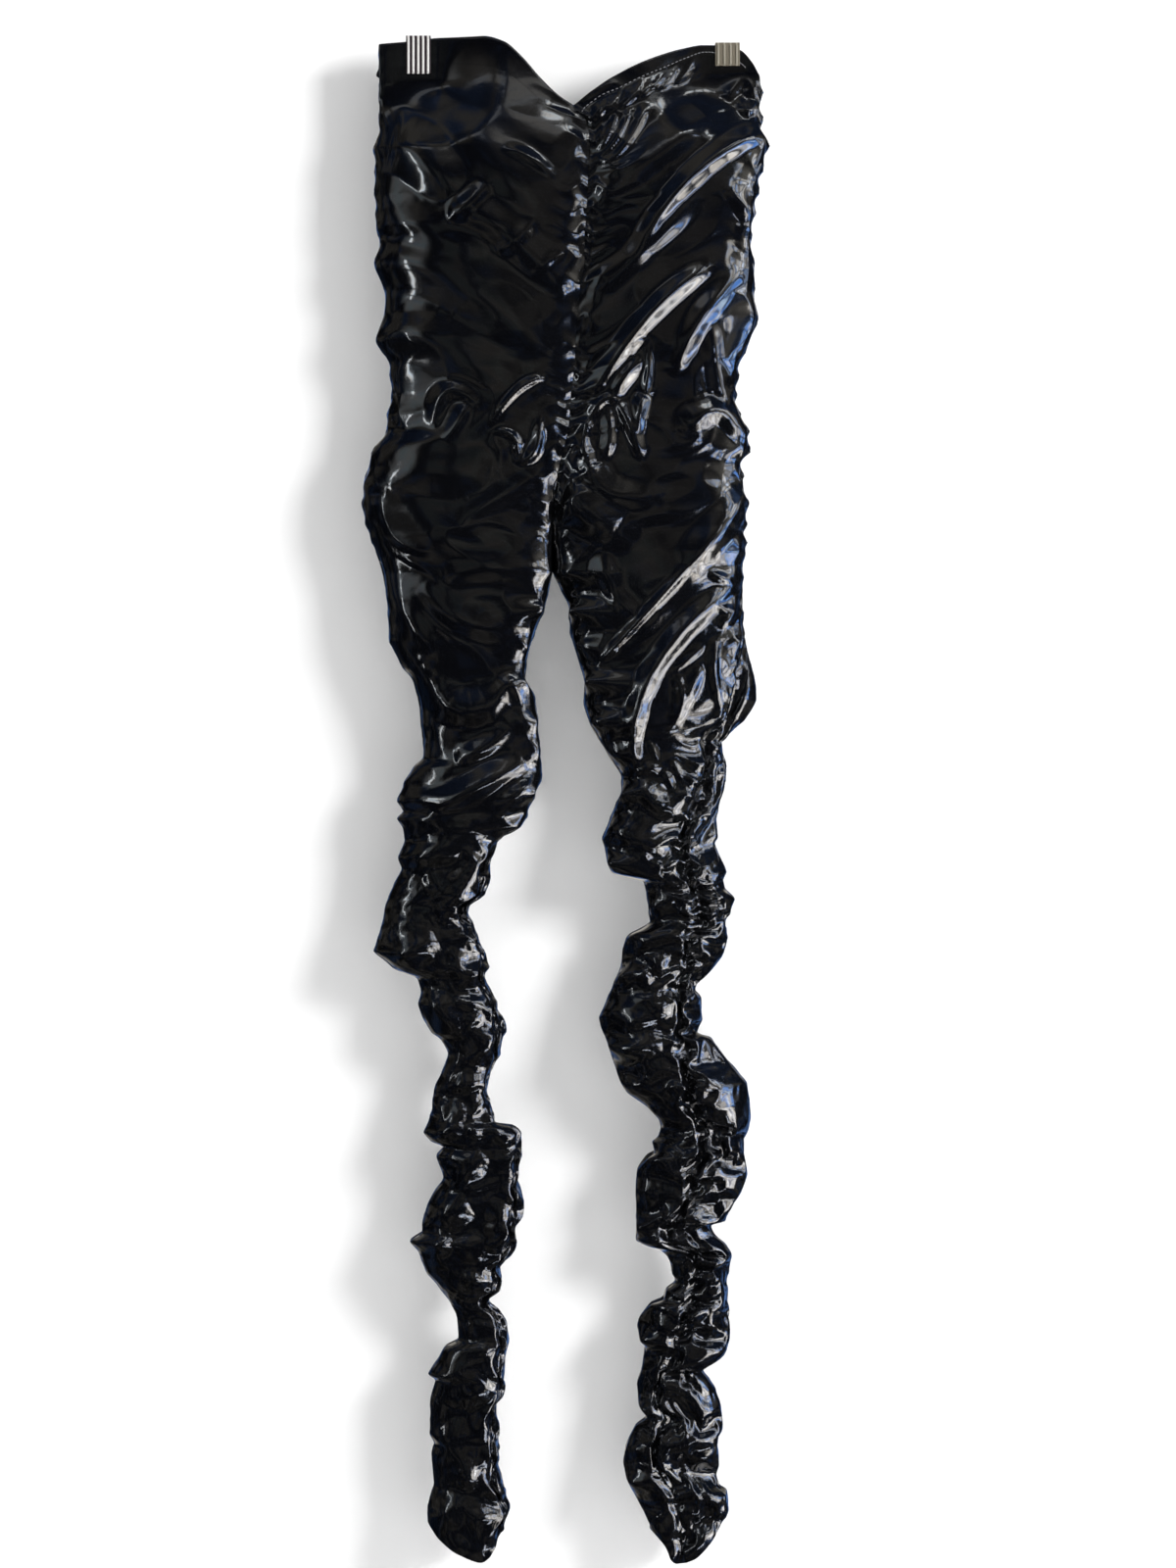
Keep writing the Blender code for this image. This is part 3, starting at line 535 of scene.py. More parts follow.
def depth(side, layer, drop):
    outer, inner = edges(side, drop)
    full = form["fullDepth"][layer] * (1 - np.exp(-np.abs(outer - inner) / form["depthWidth"]))
    flat = form["waistFlatness"]
    return full * (flat + (1 - flat) * smooth(drop / form["waistDeepens"]))


def centreDepth(layer, drop):
    least = np.minimum(depth("right", layer, drop), depth("left", layer, drop))
    return least * through(form["centreValley"], 1, drop)


def foldHeight(folds, x, drop):
    # a fold rises gently from above and falls off steeply below its crest
    total = np.zeros(np.shape(x))
    along = np.linspace(0, 1, 9)
    for x1, d1, x2, d2, x3, d3, halfWidth, height in folds:
        halfWidth = halfWidth * float(through(foldShape["wider"], 1, d2))
        height = height * float(through(foldShape["gain"], 1, d2))
        bx, bd = 2 * x2 - (x1 + x3) / 2, 2 * d2 - (d1 + d3) / 2
        crestX = (1 - along) ** 2 * x1 + 2 * along * (1 - along) * bx + along**2 * x3
        crestD = (1 - along) ** 2 * d1 + 2 * along * (1 - along) * bd + along**2 * d3
        nearest = np.full(np.shape(x), np.inf)
        place = np.zeros(np.shape(x))
        below = np.zeros(np.shape(x))
        for k in range(len(along) - 1):
            sx, sd = crestX[k + 1] - crestX[k], crestD[k + 1] - crestD[k]
            t = np.clip(((x - crestX[k]) * sx + (drop - crestD[k]) * sd) / (sx * sx + sd * sd), 0, 1)
            gapX, gapD = x - crestX[k] - t * sx, drop - crestD[k] - t * sd
            away = np.hypot(gapX, gapD)
            closer = away < nearest
            place = np.where(closer, along[k] + t * along[1], place)
            below = np.where(closer, (gapD + 0.3 * gapX) / np.maximum(away, 0.01), below)
            nearest = np.minimum(nearest, away)
        taper = 0.35 + 0.65 * np.sin(np.pi * place) ** 0.7
        reach = halfWidth * np.where(below > 0, foldShape["below"], foldShape["above"])
        soft = max(halfWidth - foldShape["crisp"], 0) * 0.5  # wide folds have rounder crests
        near = np.clip(1 - (np.hypot(nearest, soft) - soft) / reach, 0, 1)
        total += (height * taper * near ** foldShape["power"]) ** 3
    return np.cbrt(total)


def ripples(x, y, size, vary):
    # smooth random waves in all directions, about 1 high
    total = 0
    for n in range(12):
        turned, wave = vary.uniform(0, math.pi), 2 * math.pi / (size * vary.uniform(0.7, 1.6))
        total = total + np.cos(wave * (x * math.cos(turned) + y * math.sin(turned)) + vary.uniform(0, 6.28))
    return total / 3


def dents(u, v, vary):
    # cloth that is pressed together has dents with a sharp crest wherever two of them meet
    nearest = np.full(u.shape, np.inf)
    lowest, highest = v.min(axis=1), v.max(axis=1)
    for seedV in np.arange(-3, 110, 0.9):
        shifts = vary.uniform(-0.42, 0.42, (26, 3))
        rows = np.flatnonzero((lowest < seedV + 2) & (highest > seedV - 2))
        if not len(rows):
            continue
        part = slice(rows[0], rows[-1] + 1)
        for seedU, (asideU, asideV, offset) in zip(np.arange(-2, 21.4, 0.9), shifts):
            if seedU > u[part].max() + 2:
                break
            under = v[part] - seedV - asideV
            stretch = np.where(under < 0, crumple["steep"], crumple["gentle"])
            gap = (u[part] - seedU - asideU) ** 2 + under**2 * stretch
            nearest[part] = np.minimum(nearest[part], gap + (offset + 0.42) * 0.4 * crumple["uneven"])
    return (np.minimum(nearest, 1.2) / 0.5) ** crumple["flank"]


def facets(u, v, vary):
    # a crushed tube bends along straight creases between points that stand out and points that are sunk
    points = vary.uniform(0, 0.5, (130, 40))
    points[::2, ::2] += 0.5
    points[1::2, 1::2] += 0.5
    row, column = np.clip(np.floor(v).astype(int) + 6, 0, 128), np.clip(np.floor(u).astype(int) + 6, 0, 38)
    down, along = v - np.floor(v), u - np.floor(u)
    a, b = points[row, column], points[row, column + 1]
    c, d = points[row + 1, column], points[row + 1, column + 1]
    oneWay = np.where(
        along > down, a + (b - a) * along + (d - b) * down, a + (c - a) * down + (d - c) * along
    )
    below = along + down < 1
    otherWay = np.where(
        below, a + (b - a) * along + (c - a) * down, d + (c - d) * (1 - along) + (b - d) * (1 - down)
    )
    return np.where(a + d > b + c, oneWay, otherWay)


def crushed(side, layer, across, drop, finer=1.0):
    vary = np.random.default_rng(int(crumple["seed"] * finer) + sideSign[side] + 3 * layerTurn[layer])
    steps = np.linspace(0, deepest, 631)
    size = through(crumple["along"], 1, steps) / finer
    counted = np.concatenate([[0], np.cumsum(np.diff(steps) / size[1:])])
    size = through(crumple["along"], 1, drop) / finer
    drawn, lean = through(crumple["along"], 3, drop), through(crumple["along"], 4, drop)
    wander = crumple["wander"]
    u = across * drawn / size + wander * ripples(across, drop, 60, vary)
    v = np.interp(drop - lean * (across - 60), steps, counted) + wander * ripples(across, drop, 60, vary)
    flat = through(crumple["along"], 5, drop)
    result = facets(u * 0.8, v, vary)
    soft = flat.min(axis=1) < 1
    if soft.any():
        dished = dents(u[soft], v[soft], vary)
        result[soft] = result[soft] * flat[soft] + dished * (1 - flat[soft])
    return result


backBody = {"first": 70, "pitch": 41, "rise": 62, "start": 12, "halfWidth": 15, "height": 6}
backLeg = {"first": 470, "pitch": 31, "lean": 20, "halfWidth": 11, "height": 5.5}


def backFolds():
    # from the centre seam up to the outseams, then across the legs, leaning one way and the other
    vary = np.random.default_rng(11)
    folds = []
    body, leg = backBody, backLeg
    for n, drop in enumerate(np.arange(body["first"], crotchDrop - 20, body["pitch"])):
        for sign in sideSign.values():
            low, mid, high = vary.uniform(-8, 8, 3)
            reach = vary.uniform(95, 148)
            wide = body["halfWidth"] * vary.uniform(0.8, 1.3)
            start = drop + 10 * (n % 2) + body["rise"] / 2
            folds.append(
                (sign * body["start"], start + low, sign * reach * 0.55, start + mid - 0.4 * body["rise"],
                 sign * reach, start + high - body["rise"], wide, body["height"] * vary.uniform(0.7, 1.3))
            )
    for side in sideSign:
        for n, drop in enumerate(np.arange(leg["first"], hemDrop, leg["pitch"])):
            outer, inner = edges(side, np.array([drop]))
            share = vary.uniform(0.08, 0.3, 2)
            x1 = float(outer[0] + (inner[0] - outer[0]) * share[0])
            x3 = float(inner[0] + (outer[0] - inner[0]) * share[1])
            lean = leg["lean"] * (1 if n % 2 else -1) * vary.uniform(0.4, 1.0)
            folds.append(
                (x1, drop - lean, (x1 + x3) / 2, drop + vary.uniform(-6, 6), x3, drop + lean,
                 leg["halfWidth"] * vary.uniform(0.85, 1.2), leg["height"] * vary.uniform(0.7, 1.3))
            )
    return folds


def puckers():
    # short creases that the stitches draw up under the waistband
    vary = np.random.default_rng(5)
    folds = []
    for share in np.arange(0.28, 0.95, 0.032):
        x = 152 + (10 - 152) * share + vary.uniform(-1, 1)
        drop = float(through(waistLine["left"], 1, share) + through(bandWidth["left"], 1, share))
        long = vary.uniform(9, 20)
        folds.append(
            (x, drop - 1, x - 0.3 * long, drop + 0.6 * long, x - 0.75 * long, drop + long,
             vary.uniform(3.4, 4.6), vary.uniform(1.2, 2.2))
        )
    return folds


foldsOf = {"front": frontFolds + tuple(puckers()), "back": backFolds()}


def clipHold(x, drop, spread):
    hold = np.zeros(np.shape(x))
    for clip in clips.values():
        aside = np.maximum(np.abs(x - clip["x"]) - form["pinchAside"], 0)
        below = np.maximum(drop - clip["foot"] - form["pinchBelow"], 0)
        hold = np.maximum(hold, 1 - smooth(np.hypot(aside, below) / spread))
    return hold


def ring(side, layer, share, drop):
    # one layer before it is folded: its place, its outward direction, the angle round the ring,
    # half the ring's width, the angle at which the layer ends and how far it stands out
    sign, turn = sideSign[side], layerTurn[layer]
    outer, inner = edges(side, drop)
    outDepth = depth(side, layer, drop)
    legs = drop >= crotchDrop
    last = np.where(legs, np.pi, np.pi - np.arcsin(np.clip(centreDepth(layer, drop) / outDepth, 0, 1)))
    wander = np.sin(drop / 19) + 0.6 * np.sin(drop / 7.3 + 1)
    wander = wander * gathers["wobble"] * smooth((drop - crotchDrop - 60) / 100)
    angle = np.radians(through(seamTwist[side], 1, drop)) + wander + turn * share * last
    half = np.abs(inner - outer) / (1 - np.cos(last))
    stands = np.where(np.sin(angle) >= 0, depth(side, "front", drop), depth(side, "back", drop))
    x = outer - sign * half + sign * half * np.cos(angle)
    seam = np.where(legs, 0, np.sin(last))
    level = np.abs(np.sin(angle))
    onInner = np.maximum(level - seam, 0) / (1 - np.minimum(seam, 0.99))
    # the inseam's gathers make the inner flank fuller and flatter in turns
    uneven = (0.5 * np.sin(drop / 4.7) + 0.4 * np.sin(drop / 7.9 + 2)) * smooth((drop - 400) / 60)
    onInner = seam + (1 - seam) * onInner ** (through(flanks[side], 2, drop) * (1 + uneven))
    level = np.where(np.cos(angle) < 0, onInner, level ** through(flanks[side], 1, drop))
    y = -stands * np.sign(np.sin(angle)) * level
    if side == "left":
        y = y + (x - (outer + inner) / 2) * through(legLean, 1, drop) * level * (np.sin(angle) > 0)
    nx, ny = sign * np.cos(angle) / half, -np.sin(angle) / stands
    length = np.hypot(nx, ny)
    return x, y, nx / length, ny / length, angle, half, last, stands


def folded(side, layer, x, drop, angle, arc, fromSeam):
    # how far folds, dents and creases stand out, and how deep the seams lie between them
    face = smooth(np.abs(np.sin(angle)) / 0.3)
    rise = foldHeight(foldsOf["front"], x, drop) * (np.sin(angle) > 0)
    rise = rise + foldHeight(foldsOf["back"], x, drop) * (np.sin(angle) < 0)
    high = through(crumple["along"], 2, drop)
    rise = np.cbrt(rise**3 + (high * crushed(side, layer, arc, drop)) ** 3) - crumple["level"] * high
    small = through(crumple["finerHeight"], 1, drop) * (0.35 + np.exp(-fromSeam / 18)) * high
    rise = rise + small * (crushed(side, layer, arc, drop, crumple["finer"]) - 0.4)
    clearWide = 7 + 11 * (1 - smooth((drop - 380) / 60))
    clear = smooth(fromSeam / (clearWide + 3 * np.sin(drop / 8) + 2 * np.sin(drop / 3.7)))
    return rise * clear * face - through(gathers["sunk"], 1, drop) * (1 - clear)


def gathered(side, drop, fromSeam):
    # sharp crests and round hollows along a seam, which die out away from it
    nearCrotch = smooth(np.abs(drop - crotchDrop) / 40)
    steps = np.linspace(0, deepest, 316)
    phase = np.interp(drop, steps, np.cumsum(4 / through(gathers["pitch"], 1, steps)))
    phase = phase + 0.5 * np.sin(drop / 61) + 0.3 * np.sin(drop / 23)
    phase = phase + 0.22 * np.sin(fromSeam / 6 + drop / 17) * smooth(fromSeam / 6)
    gather = 1 - 1.7 * np.abs(np.sin(np.pi * phase)) ** 0.8
    gather = gather * through(gathers["height"][side], 1, drop) * nearCrotch * (0.7 + 0.3 * np.sin(drop / 47))
    return gather * np.exp(-fromSeam / gathers["reach"])


def clothPoint(side, layer, share, drop):
    # the outer face of one layer: its place, its outward direction and how far it stands from the middle
    turn = layerTurn[layer]
    x, y, nx, ny, angle, half, last, stands = ring(side, layer, share, drop)
    straight = np.where(drop >= crotchDrop, 0, smooth((share - 0.35) / 0.4))
    fx, fy = nx * (1 - straight), ny
    length = np.hypot(fx, fy)
    fx, fy = fx / length, fy / length
    fromSeam = np.minimum(share, 1 - share) * half * last
    hold = clipHold(x, drop, form["pinchSpread"]) * smooth(fromSeam / 11)
    still = clipHold(x, drop, form["stillSpread"])
    arc = share * half * last * np.hypot(1, stands / half) / math.sqrt(2)
    rise = folded(side, layer, x, drop, angle, arc, fromSeam) * (1 - still)
    gather = gathered(side, drop, fromSeam) * (1 - still)
    y = y * (1 - hold) - turn * form["pinchY"] * hold
    x, y = x + fx * (rise * foldShape["aside"] + gather), y + fy * (rise + gather)
    nx, ny = nx * (1 - hold), ny * (1 - hold) - turn * hold
    length = np.hypot(nx, ny)
    point = np.stack([x, y, -drop + 0 * x], axis=-1)
    out = np.stack([nx / length, ny / length, 0 * x], axis=-1)
    return point, out, stands * np.abs(np.sin(angle))


def waistShare(share):
    last = math.pi - math.asin(form["centreValley"][0][1])
    return (1 - np.cos(share * last)) / (1 - math.cos(last))


def waistDrop(side, layer, share):
    lower = form["backLower"] * smooth(share / 0.4) if layer == "back" else 0
    return through(waistLine[side], 1, waistShare(share)) + lower


def bandBottom(side, layer, share):
    return waistDrop(side, layer, share) + through(bandWidth[side], 1, waistShare(share))


def hemAt(side, layer, share):
    twist = math.radians(float(through(seamTwist[side], 1, np.array([hemDrop]))[0]))
    angle = twist + layerTurn[layer] * share * math.pi
    higher = form["backHemHigher"] * np.clip(-np.sin(angle), 0, 1)
    return through(hemLine[side], 1, (1 - np.cos(angle)) / 2) - higher


def panelDrops(side, layer, share, rows):
    top = bandBottom(side, layer, share) - 3
    bottom = hemAt(side, layer, share) - hemDrop
    upper = np.clip(1 - rows / form["waistFade"], 0, 1) ** 2
    lower = np.clip((rows - hemDrop + form["hemFade"]) / form["hemFade"], 0, 1) ** 2
    return rows + top * upper + bottom * lower


def gridFaces(rows, columns, flip=False):
    index = np.arange(rows * columns).reshape(rows, columns)
    faces = np.stack([index[:-1, :-1], index[:-1, 1:], index[1:, 1:], index[1:, :-1]], -1).reshape(-1, 4)
    return faces[:, ::-1] if flip else faces


def gridRing(rings, around):
    index = np.arange(rings * around).reshape(rings, around)
    after = np.roll(index, -1, axis=1)
    return np.stack([index[:-1], after[:-1], after[1:], index[1:]], -1).reshape(-1, 4)


def meshObject(name, points, faces):
    mesh = bpy.data.meshes.new(name)
    mesh.from_pydata(np.asarray(points).reshape(-1, 3).tolist(), [], np.asarray(faces).tolist())
    mesh.update()
    mesh.shade_smooth()
    obj = bpy.data.objects.new(name, mesh)
    bpy.context.collection.objects.link(obj)
    return obj


def readPoints(obj):
    evaluated = obj.evaluated_get(bpy.context.evaluated_depsgraph_get())
    flat = np.zeros(len(evaluated.data.vertices) * 3)
    evaluated.data.vertices.foreach_get("co", flat)
    return flat.reshape(-1, 3)


def applied(obj):
    # the object's mesh with its modifiers made real
    evaluated = obj.evaluated_get(bpy.context.evaluated_depsgraph_get())
    mesh = bpy.data.meshes.new_from_object(evaluated)
    obj.modifiers.clear()
    obj.data = mesh
    return obj


def drawUp(name, cut, hung, hold, faces):
    # the cloth starts as cut and its seams are drawn up to where they hang, so it buckles
    obj = meshObject(name, cut, faces)
    obj.shape_key_add(name="cut")
    key = obj.shape_key_add(name="hung")
    key.data.foreach_set("co", hung.ravel())
    key.value = 0
    key.keyframe_insert("value", frame=1)
    key.value = 1
    key.keyframe_insert("value", frame=int(cloth["frames"] * cloth["gatheredBy"]))
    group = obj.vertex_groups.new(name="hold")
    levels = np.round(hold.ravel(), 2)
    for level in np.unique(levels):
        if level > 0:
            group.add(np.flatnonzero(levels == level).tolist(), float(level), "REPLACE")
    drape = obj.modifiers.new("drape", "CLOTH")
    settings = drape.settings
    settings.quality = cloth["steps"]
    settings.mass = cloth["mass"]
    settings.air_damping = 1.0
    settings.bending_model = "ANGULAR"
    settings.tension_stiffness = cloth["stretch"]
    settings.compression_stiffness = cloth["stretch"]
    settings.shear_stiffness = cloth["shear"]
    settings.bending_stiffness = cloth["bend"]
    settings.tension_damping = cloth["damping"]
    settings.compression_damping = cloth["damping"]
    settings.shear_damping = cloth["damping"]
    settings.bending_damping = cloth["bendDamping"]
    settings.vertex_group_mass = "hold"
    settings.pin_stiffness = 1
    settings.effector_weights.gravity = 0
    drape.collision_settings.use_self_collision = False
    drape.point_cache.frame_start = 1
    drape.point_cache.frame_end = cloth["frames"]
    for now in range(1, cloth["frames"] + 1):
        bpy.context.scene.frame_set(now)
    points = readPoints(obj)
    bpy.data.objects.remove(obj)
    bpy.context.scene.frame_set(1)
    return points


def finerGrid(values, rows, columns):
    # a smooth curve through the values, down and then across
    for count in (rows, columns):
        at = np.linspace(0, len(values) - 1, count)
        i = np.clip(at.astype(int), 0, len(values) - 2)
        t = (at - i).reshape((-1,) + (1,) * (values.ndim - 1))
        before, here = values[np.maximum(i - 1, 0)], values[i]
        after, last = values[i + 1], values[np.minimum(i + 2, len(values) - 1)]
        second = 2 * before - 5 * here + 4 * after - last
        third = 3 * (here - after) + last - before
        values = here + 0.5 * t * (after - before + t * (second + t * third))
        values = np.swapaxes(values, 0, 1)
    return values


def hungGrid(side, layer, rows, columns):
    share = np.linspace(0, 1, columns)[None, :]
    drop = panelDrops(side, layer, share, np.linspace(0, hemDrop, rows)[:, None])
    return (drop, *clothPoint(side, layer, np.broadcast_to(share, drop.shape), drop))


def settle(side, layer):
    # how far the cloth moves from its hung form when it is let go
    rows, columns = cloth["rows"], cloth["columns"]
    drop, hung, out, stands = hungGrid(side, layer, rows, columns)
    inner = edges(side, drop)[1]
    steps = np.linspace(0, deepest, 640)
    fullness = through(cloth[layer], 1, steps)
    longer = np.concatenate([[0], np.cumsum((fullness[1:] + fullness[:-1]) / 2 * np.diff(steps))])
    slant = through(cloth[layer], 2, drop)
    cut = hung.copy()
    cut[..., 2] = -np.interp(drop, steps, longer) - slant * np.abs(hung[..., 0] - inner)
    middle = (hung[..., 0].min() + hung[..., 0].max()) / 2
    cut[..., 0] = middle + (cut[..., 0] - middle) * cloth["ease"]
    vary = np.random.default_rng(cloth["seed"] + sideSign[side] + 3 * layerTurn[layer])
    cut += out * vary.normal(0, 0.1, drop.shape)[..., None]
    hold = np.full(drop.shape, cloth["hold"][layer])
    hold[0] = hold[-1] = hold[:, 0] = hold[:, -1] = 1
    settled = drawUp(f"{layer}_{side}_settling", cut * mm, hung * mm, hold, gridFaces(rows, columns)) / mm
    # the folds stay within reach of the hung form and never pass through the other layer
    moved = settled.reshape(hung.shape) - hung
    along = (moved * out).sum(-1)
    limit = cloth["out"]
    kept = np.where(along > 0, limit * np.tanh(along / limit), along)
    room = 0.75 * stands + 0.5
    kept = np.where(kept < 0, -room * np.tanh(-kept / room), kept)
    return (moved + out * (kept - along)[..., None]) * through(cloth[layer], 3, drop)[..., None]


def panel(side, layer):
    rows, columns = cloth["finerRows"], cloth["finerColumns"]
    _, hung, _, _ = hungGrid(side, layer, rows, columns)
    hung = hung + finerGrid(settle(side, layer), rows, columns)
    flip = (side == "left") == (layer == "front")
    return meshObject(f"{layer}_{side}", hung * mm, gridFaces(rows, columns, flip))


bandShape = {"down": 14, "across": 130, "thick": 1.5, "proudTop": 0.5, "proudBottom": 0.3}


def band(layer):
    down, proudTop = bandShape["down"], bandShape["proudTop"]
    halves = []
    for side in sideSign:
        share = np.linspace(0, 1, bandShape["across"])[None, :]
        level = np.linspace(0, 1, down)[:, None]
        top, bottom = waistDrop(side, layer, share), bandBottom(side, layer, share)
        drop = top + (bottom - top) * level
        share = np.broadcast_to(share, drop.shape)
        halves.append(clothPoint(side, layer, share, drop)[:2])
    (right, rightOut), (left, leftOut) = halves
    outer = np.concatenate([right, left[:, -2::-1]], axis=1)
    out = np.concatenate([rightOut, leftOut[:, -2::-1]], axis=1)
    # over the top edge and down again inside
    thick = bandShape["thick"]
    proud = np.linspace(proudTop, bandShape["proudBottom"], down)[:, None, None]
    face = outer + out * proud
    roll = outer[:1] + out[:1] * (proudTop - thick / 2) + np.array([0, 0, thick / 2])
    inside = outer - out * (thick - proudTop)
    points = np.concatenate([face[::-1], roll, inside])
    faces = gridFaces(points.shape[0], points.shape[1], flip=(layer == "front"))
    return meshObject(f"band_{layer}", points * mm, faces)


stitch = {
    "count": 46,
    "first": 0.24,  # share of the way from the outseam to the centre, for the first and the last
    "last": 0.985,
    "aboveEdge": 2.4,
    "long": 2.5,
    "radius": 0.42,
    "around": 6,
    "proud": 0.75,
    "dips": 0.35,  # how much lower its ends lie
    # share of the way from its middle to an end, share of the radius
    "profile": ((-1, 0.05), (-0.8, 0.75), (-0.4, 1), (0.4, 1), (0.8, 0.75), (1, 0.05)),
}


def threads():
    # one row of stitches along the lower edge of the band, on the wearer's left half
    count, around = stitch["count"], stitch["around"]
    points, faces = [], []
    share = np.linspace(stitch["first"], stitch["last"], count * 2 + 1)[None, :]
    drop = bandBottom("left", "front", share) - stitch["aboveEdge"]
    line, out, _ = clothPoint("left", "front", share, drop)
    line, out = line[0], out[0]
    for n in range(1, count * 2, 2):
        along = line[n + 1] - line[n - 1]
        along /= np.linalg.norm(along)
        side = np.cross(along, out[n])
        start = len(points)
        for t, thin in stitch["profile"]:
            lift = stitch["proud"] - stitch["dips"] * t * t
            centre = line[n] + out[n] * lift + along * (t * stitch["long"] / 2)
            for turned in np.arange(around) * 2 * math.pi / around:
                spoke = math.cos(turned) * side + math.sin(turned) * out[n]
                points.append(centre + spoke * stitch["radius"] * thin)
        faces.extend((gridRing(len(stitch["profile"]), around) + start).tolist())
    return meshObject("band_stitches", np.array(points) * mm, faces)


class Wire:
    # a socket whose expressions add Math nodes
    def __init__(self, graph, socket):
        self.graph, self.socket = graph, socket

    def maths(self, operation, first, second=0.0):
        return self.graph.node("ShaderNodeMath", {"operation": operation}, {0: first, 1: second})

    def __add__(self, other):
        return self.maths("ADD", self, other)

    __radd__ = __add__

    def __sub__(self, other):
        return self.maths("SUBTRACT", self, other)

    def __rsub__(self, other):
        return self.maths("SUBTRACT", other, self)

    def __mul__(self, other):
        return self.maths("MULTIPLY", self, other)

    __rmul__ = __mul__

    def __pow__(self, other):
        return self.maths("POWER", self, other)


class Graph:
    def __init__(self, tree):
        self.tree = tree

    def node(self, kind, settings=None, inputs=None, output=0):
        made = self.tree.nodes.new(kind)
        for name, value in (settings or {}).items():
            if name == "stops":
                ramp = made.color_ramp
                while len(ramp.elements) < len(value):
                    ramp.elements.new(0.5)
                for element, (position, colour) in zip(ramp.elements, value):
                    element.position, element.color = position, (*colour, 1)
            else:
                setattr(made, name, value)
        for name, value in (inputs or {}).items():
            self.feed(made.inputs[name], value)
        if isinstance(output, tuple):
            return [Wire(self, made.outputs[o]) for o in output]
        return Wire(self, made.outputs[output])

    def feed(self, socket, value):
        if isinstance(value, Wire):
            self.tree.links.new(value.socket, socket)
        elif isinstance(value, tuple) and len(value) == 3 and socket.type == "RGBA":
            socket.default_value = (*value, 1)
        else:
            socket.default_value = value

    def mix(self, factor, first, second):
        return self.node("ShaderNodeMix", {"data_type": "RGBA"}, {0: factor, 6: first, 7: second}, output=2)

    def noise(self, at, scale, detail=2.0, roughness=0.5):
        return self.node(
            "ShaderNodeTexNoise", None,
            {"Vector": at, "Scale": scale, "Detail": detail, "Roughness": roughness},
        )

    def between(self, value, low, high):
        # 0 below low, 1 above high, smooth in between
        return self.node(
            "ShaderNodeMapRange", {"interpolation_type": "SMOOTHSTEP"},
            {"Value": value, "From Min": low, "From Max": high},
        )


class Finish(Graph):
    def __init__(self, name):
        self.material = bpy.data.materials.new(name)
        self.material.use_nodes = True
        super().__init__(self.material.node_tree)
        self.shader = self.tree.nodes["Principled BSDF"]

    def set(self, **values):
        for name, value in values.items():
            self.feed(self.shader.inputs[name.replace("_", " ")], value)


patent = {
    "black": (0.0012, 0.0012, 0.0018),
    "worn": (0.0034, 0.0036, 0.0042),
    "roughness": 0.07,
    "coat": 0.7,
    "coatRoughness": 0.03,
    "rippleHeight": 0.0003,
}


def patentFinish():
    finish = Finish("patentVinyl")
    at = finish.node("ShaderNodeTexCoord", output=3)
    slow = finish.noise(at, 14.0, 3.0)
    ripple = finish.noise(at, 190.0, 3.0, 0.55)
    dimple = finish.noise(at, 900.0, 1.0)
    finish.set(
        Base_Color=finish.mix(slow, patent["black"], patent["worn"]),
        Roughness=patent["roughness"] + slow * 0.08,
        Coat_Weight=patent["coat"],
        Coat_Roughness=patent["coatRoughness"],
        IOR=1.5,
    )
    _, _, up = finish.node("ShaderNodeSeparateXYZ", None, {0: at}, output=(0, 1, 2))
    patches = finish.between(finish.noise(at, 9.0, 2.0), 0.4, 0.62) * 0.35
    crinkled = patches + 1 - finish.between(up, -0.55, -0.3) * 0.8
    height = ripple * crinkled + dimple * 0.08
    finish.set(
        Normal=finish.node(
            "ShaderNodeBump", None,
            {"Strength": 0.6, "Distance": patent["rippleHeight"], "Height": height},
        )
    )
    return finish.material


def clipFinish(side):
    metal = clipMetal[side]
    finish = Finish("clip" + side.capitalize())
    at = finish.node("ShaderNodeTexCoord", output=3)
    drawn = finish.node("ShaderNodeMapping", None, {"Vector": at, "Scale": (1, 1, 0.05)})
    streaks = finish.noise(drawn, 2600.0, 2.0)
    pitch = metal["width"] / clips[side]["ribs"]
    # painted light: a stripe mask paints the gaps between the ribs dark as painted shade, and the rib lines
    # lighter, partly the metal's own colour and partly a painted highlight
    across, _, _ = finish.node("ShaderNodeSeparateXYZ", None, {0: at}, output=(0, 1, 2))
    place = (across - (clips[side]["x"] - metal["width"] / 2) * mm) * (1 / (pitch * mm))
    rib = finish.node("ShaderNodeMath", {"operation": "PINGPONG"}, {0: place, 1: 0.5})
    rib = finish.between(rib, *metal["rib"])
    bright = finish.mix(streaks, metal["colour"], tuple(c * 0.8 for c in metal["colour"]))
    finish.set(
        Base_Color=finish.mix(rib, metal["hollow"], bright),
        Metallic=metal["metallic"],
        Roughness=metal["roughness"] + streaks * 0.15,
    )
    return finish.material


# the thread is black, but it is coloured grey so the stitches show as light dashes: a painted highlight
thread = {"dark": (0.09, 0.09, 0.1), "light": (0.2, 0.2, 0.21), "roughness": 0.3}


def threadFinish():
    finish = Finish("blackThreadGreyedAsSheen")
    at = finish.node("ShaderNodeTexCoord", output=3)
    fibres = finish.noise(at, 3000.0)
    finish.set(Base_Color=finish.mix(fibres, thread["dark"], thread["light"]), Roughness=thread["roughness"])
    return finish.material


# the dark colour between the ribs is painted shade in the gaps; the lighter rib colour is partly a painted
# highlight
clipMetal = {
    "right": {
        "width": 20.0, "colour": (0.95, 0.93, 0.9), "hollow": (0.03, 0.02, 0.025), "metallic": 0.3,
        "roughness": 0.2, "rib": (0.22, 0.32),
    },
    "left": {
        "width": 20.0, "colour": (0.5, 0.46, 0.37), "hollow": (0.24, 0.21, 0.16), "metallic": 0.5,
        "roughness": 0.3, "rib": (0.3, 0.42),
    },
}
print("finishes")
vinyl = patentFinish()


def dress(obj, material, nodes=None):
    obj.data.materials.append(material)
    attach(obj, "root")
    if nodes:
        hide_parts(*nodes)
    return obj
